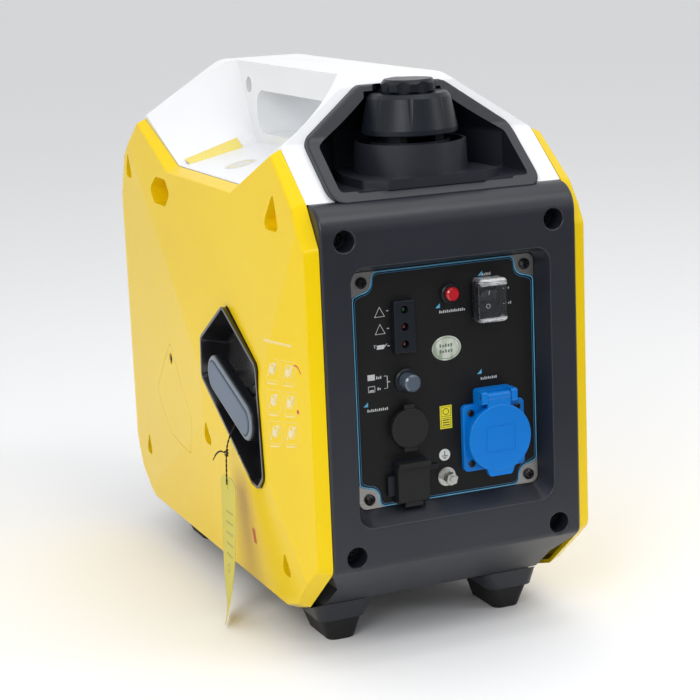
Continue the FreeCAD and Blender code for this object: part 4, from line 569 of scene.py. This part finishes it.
# ------------------------------------------------------------------ recoil starter and black fittings
# A glossy black bucket, a grip with a soft pad let into its face, and a laid nylon rope that runs
# through a guide ring to the pulley inside. The dial, the cap and its knob are satin black.
GLOSS_BLACK = moulded("gloss_black", (0.006, 0.006, 0.007), (0.010, 0.010, 0.012), 0.2, 500, 0.00003,
                      Coat_Weight=0.3, Coat_Roughness=0.1)
SATIN_BLACK = moulded("satin_black", (0.006, 0.008, 0.012), (0.010, 0.013, 0.019), 0.36, 1400, 0.00004,
                      Specular_IOR_Level=0.3)
PAD = moulded("soft_pad", (0.085, 0.115, 0.165), (0.125, 0.165, 0.23), 0.45, 900, 0.0001)
GRIP_LEAN = math.radians(20.0)
PAD_HALF_LONG, PAD_RADIUS = 44.8, 10.8
ROPE_PITCH = 0.009
ROPE_STEPS = 48
dress(GLOSS_BLACK, "starter_recess", "rope_guide")
dress(SATIN_BLACK, "fuel_dial", "fuel_cap", "cap_vent_knob")
dress(PAD, "grip_insert")


def grip_body():
    """Black grip whose face rim, round the pad, carries a painted grey highlight."""
    made, tree, shader = finish("grip_body", (0.01, 0.01, 0.012), 0.36, Specular_IOR_Level=0.35)
    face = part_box("starter_grip")[0].x
    # Painted highlight: the outermost face of the grip is coloured light grey-blue, as where the light
    # catches it.
    rim = shaded(tree, noise(tree, 600, 3), (0.15, 0.18, 0.22), (0.22, 0.26, 0.31))
    outside = spread(tree, along(tree, "X"), face + 0.0016, face + 0.0008)
    into(tree, shader, Base_Color=shaded(tree, outside, (0.008, 0.009, 0.012), rim))
    bumped(tree, shader, noise(tree, 1400, 2), 0.00004)
    return made


dress(grip_body(), "starter_grip")


def grip_face(u, v):
    """A point on the pad's face: u along the grip and v across it, in millimetres."""
    low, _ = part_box("starter_grip")
    middle = sum(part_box("grip_insert"), Vector()) / 2
    y = middle.y + (u * math.cos(GRIP_LEAN) - v * math.sin(GRIP_LEAN)) / 1000
    z = middle.z + (u * math.sin(GRIP_LEAN) + v * math.cos(GRIP_LEAN)) / 1000
    return Vector((low.x, y, z)), Vector((-1, 0, 0))


def stadium(half_long, radius, steps=14):
    right = circle(half_long - radius, 0, radius, 1.0, steps, -math.pi / 2, math.pi)
    left = circle(radius - half_long, 0, radius, 1.0, steps, math.pi / 2, math.pi)
    return right + left


printed("pad_groove", lined(stadium(PAD_HALF_LONG, PAD_RADIUS), 1.1, grip_face, True, 0.00004),
        ink("groove_black", (0.012, 0.013, 0.016)), "starter_handle")


def nylon():
    made, tree, shader = finish("nylon_rope", (0.02, 0.02, 0.022), 0.6)
    thread = noise(tree, 1800, 3, (0.2, 1, 1))
    into(tree, shader, Base_Color=shaded(tree, thread, (0.010, 0.010, 0.012), (0.045, 0.045, 0.05)))
    bumped(tree, shader, thread, 0.0001)
    return made


def laid_rope():
    """Three plies laid round each other, which stretch between the guide and the grip."""
    made = bmesh.new()
    low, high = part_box("starter_rope")
    middle = (low + high) / 2
    radius = (high.z - low.z) / 2
    line = [Vector((high.x + (low.x - high.x) * k / ROPE_STEPS, middle.y, middle.z))
            for k in range(ROPE_STEPS + 1)]
    for ply in range(3):
        strand(made, line, radius * 0.52, radius * 0.47, ROPE_PITCH, math.tau * ply / 3, 10)
    rope = smooth(mesh_piece("laid_rope", made, nylon()))
    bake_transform(rope)
    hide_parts("starter_rope")


laid_rope()

# ------------------------------------------------------------------ control panel
# A black lacquered plate behind the bezel's mouth. A double blue line follows its edge and steps
# round each corner screw; the corners outside it are bare silver. Marks are printed in white, and
# their places are x and z in millimetres.
PANEL = moulded("panel_lacquer", (0.0026, 0.0026, 0.0028), (0.0046, 0.0046, 0.0048), 0.5, 1700, 0.00003,
                Specular_IOR_Level=0.3)
dress(PANEL, "control_panel")
panel_low, panel_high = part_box("control_panel")
panel_middle = (panel_low + panel_high) / 2
HALF_WIDE = (panel_high.x - panel_low.x) * 500
HALF_TALL = (panel_high.z - panel_low.z) * 500
MIDDLE_Z = panel_middle.z * 1000
NOTCH_ARM, NOTCH_RADIUS = 15.5, 8.0
TURN_RADIUS, END_RADIUS = 4.6, 3.4
CORNER_RADIUS, CORNER_INSET = 5.9, 6.2
WARNING_SIGNS = (257.0, 244.6)
LAMP_LEADS = (257.4, 244.6, 232.0)
SWITCH_LEADS = (263.2, 252.0)
LABELS = ((-55.6, 208.9, 5), (-54.9, 200.8, 4), (-4.4, 250.6, 21), (30.4, 274.3, 7.6), (49.6, 262.4, 4.4),
          (49.6, 251.2, 5.0), (27.2, 197.6, 14), (-63.4, 185.6, 16.5))
FLAGS = ((-66.4, 189.6), (-7.4, 254.6), (27.0, 274.5), (24.4, 202.2))
FOIL = 0.00012
OVAL = (0.3, 224.7)
EARTH = (-3.8, 145.7)


def on_panel(x, z):
    """A point on the plate's face."""
    return Vector((x / 1000, panel_low.y, z / 1000)), Vector((0, -1, 0))


def notched(inset):
    """The plate's outline, drawn in, with an S-shaped step round each corner screw."""
    wide, tall = HALF_WIDE - inset, HALF_TALL - inset
    arm = wide - NOTCH_ARM + 0.55 * inset
    quarter = math.pi / 2
    corner = (circle(arm - TURN_RADIUS - 0.2, tall - TURN_RADIUS, TURN_RADIUS, 1.0, 6, quarter, -quarter)
              + circle(arm + NOTCH_RADIUS, tall - 6.6, NOTCH_RADIUS, 1.0, 6, math.pi, quarter)[1:]
              + circle(wide - END_RADIUS, tall - 19.4, END_RADIUS, 1.0, 6, quarter, -quarter)[1:])
    top_right = [(x, MIDDLE_Z + z) for x, z in corner]
    bottom_right = [(x, MIDDLE_Z - z) for x, z in reversed(corner)]
    bottom_left = [(-x, MIDDLE_Z - z) for x, z in corner]
    top_left = [(-x, MIDDLE_Z + z) for x, z in reversed(corner)]
    return top_left + top_right + bottom_right + bottom_left


def silver_corners(made):
    """The four bare corners between the plate's rounded corner and the stepped line."""
    step = notched(0.55)
    points = len(step) // 4
    for k, (sx, sz) in enumerate(((-1, 1), (1, 1), (1, -1), (-1, -1))):
        inner = step[k * points:(k + 1) * points]
        middle = (sx * (HALF_WIDE - CORNER_INSET), MIDDLE_Z + sz * (HALF_TALL - CORNER_INSET))
        arc = [(middle[0] + sx * CORNER_RADIUS * math.cos(a), middle[1] + sz * CORNER_RADIUS * math.sin(a))
               for a in (math.radians(90 * t / 8) for t in range(9))]
        if inner[0][0] * sx < inner[-1][0] * sx:
            arc.reverse()
        patch(made, inner + arc[::-1], on_panel, INK * 0.6)


def brushed(name, colour):
    """Bare metal with fine brush lines across the object."""
    made, tree, shader = finish(name, colour, 0.32, Metallic=1.0)
    line = noise(tree, 900, 2, (0.05, 1, 1))
    into(tree, shader, Base_Color=shaded(tree, line, [c * 0.7 for c in colour], colour))
    bumped(tree, shader, line, 0.00004)
    return made


BLUE_LINE = ink("blue_line", (0.10, 0.42, 0.66), 0.35)
DEEP_BLUE = ink("deep_blue_line", (0.02, 0.13, 0.25), 0.35)
printed("blue_line", lined(notched(1.1), 0.75, on_panel, True), BLUE_LINE)
printed("inner_blue_line", lined(notched(2.6), 0.5, on_panel, True), DEEP_BLUE)
printed("silver_corners", silver_corners, brushed("bare_silver", (0.40, 0.39, 0.37)))


def lamp_signs(made):
    """Two empty triangles and a can, beside the lamps, each with a short lead."""
    for z in WARNING_SIGNS:
        stripe(made, [(-55.0, z - 3.4), (-47.4, z - 3.4), (-51.2, z + 3.6)], 0.65, on_panel, True)
    patch(made, [(-54.5, 230.2), (-48.8, 230.2), (-48.0, 233.2), (-53.6, 233.2)], on_panel)
    stripe(made, [(-48.4, 231.4), (-46.2, 233.8)], 0.5, on_panel)
    stripe(made, [(-54.0, 232.8), (-56.2, 233.6), (-55.8, 231.4)], 0.5, on_panel)
    for z in LAMP_LEADS:
        patch(made, block(-45.9, -44.2, z - 0.3, z + 0.3), on_panel)


def breaker_signs(made):
    """The breaker's pressed and released signs, and the bracket that joins them to it."""
    patch(made, block(-62.3, -56.7, 208.4, 212.6), on_panel)
    stripe(made, block(-62.0, -57.0, 199.9, 204.0), 0.55, on_panel, True)
    patch(made, block(-61.2, -57.8, 200.4, 201.4), on_panel)
    stripe(made, [(-49.6, 210.4), (-47.1, 210.4), (-47.1, 201.4), (-49.6, 201.4)], 0.5, on_panel)
    patch(made, block(-46.8, -45.0, 205.6, 206.2), on_panel)


def white_marks(made):
    """All the white print: the signs, a row of bars for each label and the switch's leads."""
    lamp_signs(made)
    breaker_signs(made)
    for x, z, length in LABELS:
        word(made, x, z, length, on_panel, 2.0, 1.5)
    for z in SWITCH_LEADS:
        patch(made, block(47.2, 48.7, z - 0.25, z + 0.25), on_panel)


def blue_flags(made):
    for x, z in FLAGS:
        patch(made, [(x, z), (x + 3.6, z), (x + 3.6, z + 3.4)], on_panel)


WHITE_INK = ink("white_ink", (0.55, 0.56, 0.57))
printed("white_marks", white_marks, WHITE_INK)
printed("blue_flags", blue_flags, BLUE_LINE)
on_foil = lifted(on_panel, FOIL)


def oval_foil():
    """A holographic foil sticker: grey-green with pale slanting gleams."""
    made, tree, shader = finish("oval_foil", (0.52, 0.58, 0.47), 0.25, Metallic=0.35)
    gleam = spread(tree, noise(tree, 160, 2, (1.0, 1.0, 0.35)), 0.42, 0.66)
    into(tree, shader, Base_Color=shaded(tree, gleam, (0.40, 0.47, 0.36), (0.82, 0.86, 0.76)))
    return made


def oval_lines(made):
    for k in range(2):
        word(made, -5.2, 221.4 + 4.2 * k, 11, on_foil, 2.4, 2.2)


def sticker_marks(made):
    """Two small frames: a ring in the upper one and three bars in the lower one."""
    stripe(made, block(-5.6, 1.9, 174.4, 181.4), 0.4, on_foil, True)
    stripe(made, circle(-1.85, 177.9, 2.3, 1.0, 16), 0.5, on_foil, True)
    stripe(made, block(-5.6, 1.9, 166.4, 173.0), 0.4, on_foil, True)
    for k in range(3):
        patch(made, block(-4.6, 0.9, 167.6 + 1.8 * k, 168.3 + 1.8 * k), on_foil)


def earth_marks(made):
    """The earth sign: a stem over three bars that get shorter."""
    x, z = EARTH
    patch(made, block(x - 0.3, x + 0.3, z - 0.3, z + 2.9), on_foil)
    for k in range(3):
        half = 2.4 - 0.8 * k
        patch(made, block(x - half, x + half, z - 0.9 - 1.1 * k, z - 0.4 - 1.1 * k), on_foil)


printed("oval_sticker", filled(circle(*OVAL, 11.6, 0.78, 40), on_panel, FOIL), oval_foil())
printed("oval_rim", lined(circle(*OVAL, 10.2, 0.76, 40), 0.45, on_foil, True, 0.00006),
        ink("foil_rim", (0.18, 0.22, 0.16)))
printed("oval_lines", oval_lines, ink("foil_print", (0.10, 0.13, 0.09)))
printed("yellow_sticker", filled(block(-6.6, 2.9, 165.2, 182.4), on_panel, FOIL),
        ink("sticker_yellow", (0.80, 0.70, 0.02)))
printed("sticker_marks", sticker_marks, ink("sticker_black", (0.03, 0.03, 0.01)))
printed("earth_sticker", filled(circle(*EARTH, 4.4), on_panel, FOIL),
        ink("sticker_white", (0.66, 0.68, 0.66)))
printed("earth_marks", earth_marks, ink("sticker_print", (0.05, 0.05, 0.05)))

# ------------------------------------------------------------------ lamps, buttons and switch
# Three small lenses in a black block, a red reset button and a smoked breaker button in collars,
# and a rocker switch under a soft clear hood. The two covered sockets share their satin black.
ROCKER_Y = -0.21


def lens():
    """Dark tinted lenses: green at the top and red below."""
    made, tree, shader = finish("lamp_lens", (0.1, 0.01, 0.01), 0.12, Coat_Weight=0.8, Coat_Roughness=0.03)
    low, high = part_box("pilot_lights")
    top = high.z - (high.z - low.z) * 0.3
    upper = spread(tree, along(tree, "Z"), top, top + 0.0005)
    into(tree, shader, Base_Color=shaded(tree, upper, (0.10, 0.008, 0.006), (0.006, 0.05, 0.016)))
    bumped(tree, shader, noise(tree, 1500, 1), 0.00004)
    return made


RED = moulded("red_button", (0.42, 0.002, 0.008), (0.52, 0.004, 0.012), 0.22, 900, 0.00003,
              Coat_Weight=0.6, Coat_Roughness=0.05)
SMOKE = moulded("smoked_button", (0.05, 0.07, 0.095), (0.08, 0.105, 0.14), 0.16, 700, 0.00004,
                Coat_Weight=0.8, Coat_Roughness=0.05)
dress(lens(), "pilot_lights")
dress(RED, "reset_button")
dress(SMOKE, "breaker_button")
dress(SATIN_BLACK, "led_block", "button_collars", "eco_switch_frame", "eco_rocker", "dc_socket",
      "port_housing")


def clear_hood():
    """Soft clear plastic, with streaky whitish bands painted along its top and bottom edges as the highlights
    those edges catch.
    """
    made, tree, shader = finish("clear_hood", (0.97, 0.98, 0.99), 0.06, Transmission_Weight=1.0, IOR=1.18,
                                Coat_Weight=1.0, Coat_Roughness=0.04)
    low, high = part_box("eco_clear_cover")
    tall = high.z - low.z
    height = along(tree, "Z")
    above = spread(tree, height, high.z - 0.17 * tall, high.z - 0.12 * tall, 0.0, 0.6)
    below = spread(tree, height, low.z + 0.13 * tall, low.z + 0.07 * tall, 0.0, 0.5)
    highlight_bands = node(tree, "ShaderNodeMath", {0: above, 1: below}, operation="MAXIMUM").outputs[0]
    inside = spread(tree, along(tree, "X"), low.x + 0.001, low.x + 0.004)
    streak = spread(tree, noise(tree, 420, 2, (0.25, 1, 1.6)), 0.35, 0.6)
    # Painted highlight: the plastic turns whitish along its top and bottom edges, where it catches the light.
    painted_edge_highlight = times(tree, times(tree, highlight_bands, inside), streak)
    into(tree, shader, Roughness=spread(tree, noise(tree, 300, 3), 0.3, 0.7, 0.04, 0.10),
         Transmission_Weight=spread(tree, painted_edge_highlight, 0.0, 1.0, 1.0, 0.0))
    return made


dress(clear_hood(), "eco_clear_cover")
rocker_face = surface_of("eco_rocker", (0, 1, 0))


def on_rocker(x, z):
    return rocker_face((x / 1000, ROCKER_Y, z / 1000))


def rocker_marks(made):
    """A ring for off and a bar for on."""
    stripe(made, circle(33, 252.2, 1.5, 1.0, 16), 0.45, on_rocker, True)
    patch(made, block(32.75, 33.25, 260.6, 264.0), on_rocker)


printed("rocker_marks", rocker_marks, WHITE_INK, "eco_switch")

# ------------------------------------------------------------------ mains socket
# A blue panel socket: flange, ring and hinge ears in one moulding, and a sprung lid with a thumb
# tab and a broad arm that turns on a steel pin.
BLUE = moulded("socket_blue", (0.0, 0.160, 0.56), (0.0, 0.195, 0.66), 0.33, 1300, 0.00003,
               Specular_IOR_Level=0.3)
dress(BLUE, "ac_socket_base", "ac_socket_lid")

# ------------------------------------------------------------------ exhaust end and what is inside
# The tailpipe and muffler are heat-tinted steel. The engine, alternator and inverter are cast
# aluminium, machined steel and varnished copper, and the tank and filter box are moulded.
STEEL = brushed("machined_steel", (0.55, 0.55, 0.54))
dress(STEEL, "ac_lid_pin", "crankshaft", "flywheel_rotor", "recoil_housing")


def burnt_steel():
    made, tree, shader = finish("burnt_steel", (0.3, 0.24, 0.18), 0.42, Metallic=1.0)
    heat = spread(tree, noise(tree, 26, 4), 0.35, 0.65)
    into(tree, shader, Base_Color=shaded(tree, heat, (0.16, 0.12, 0.10), (0.42, 0.36, 0.28)))
    bumped(tree, shader, noise(tree, 900, 3), 0.00008)
    return made


def casting():
    made, tree, shader = finish("cast_aluminium", (0.5, 0.5, 0.5), 0.45, Metallic=0.9)
    skin = noise(tree, 500, 4)
    into(tree, shader, Base_Color=shaded(tree, skin, (0.38, 0.38, 0.38), (0.6, 0.6, 0.6)))
    bumped(tree, shader, skin, 0.0002)
    return made


def winding():
    made, tree, shader = finish("varnished_copper", (0.5, 0.2, 0.08), 0.25, Metallic=0.8)
    wire = noise(tree, 700, 1, (1, 0.1, 1))
    into(tree, shader, Base_Color=shaded(tree, wire, (0.28, 0.10, 0.04), (0.62, 0.30, 0.13)))
    bumped(tree, shader, wire, 0.0002)
    return made


dress(burnt_steel(), "tailpipe", "muffler")
dress(casting(), "crankcase", "cylinder", "carburettor", "inverter_module")
dress(winding(), "stator")
dress(SATIN_BLACK, "cooling_fan", "recoil_pulley", "air_filter_box", "fuel_tank")
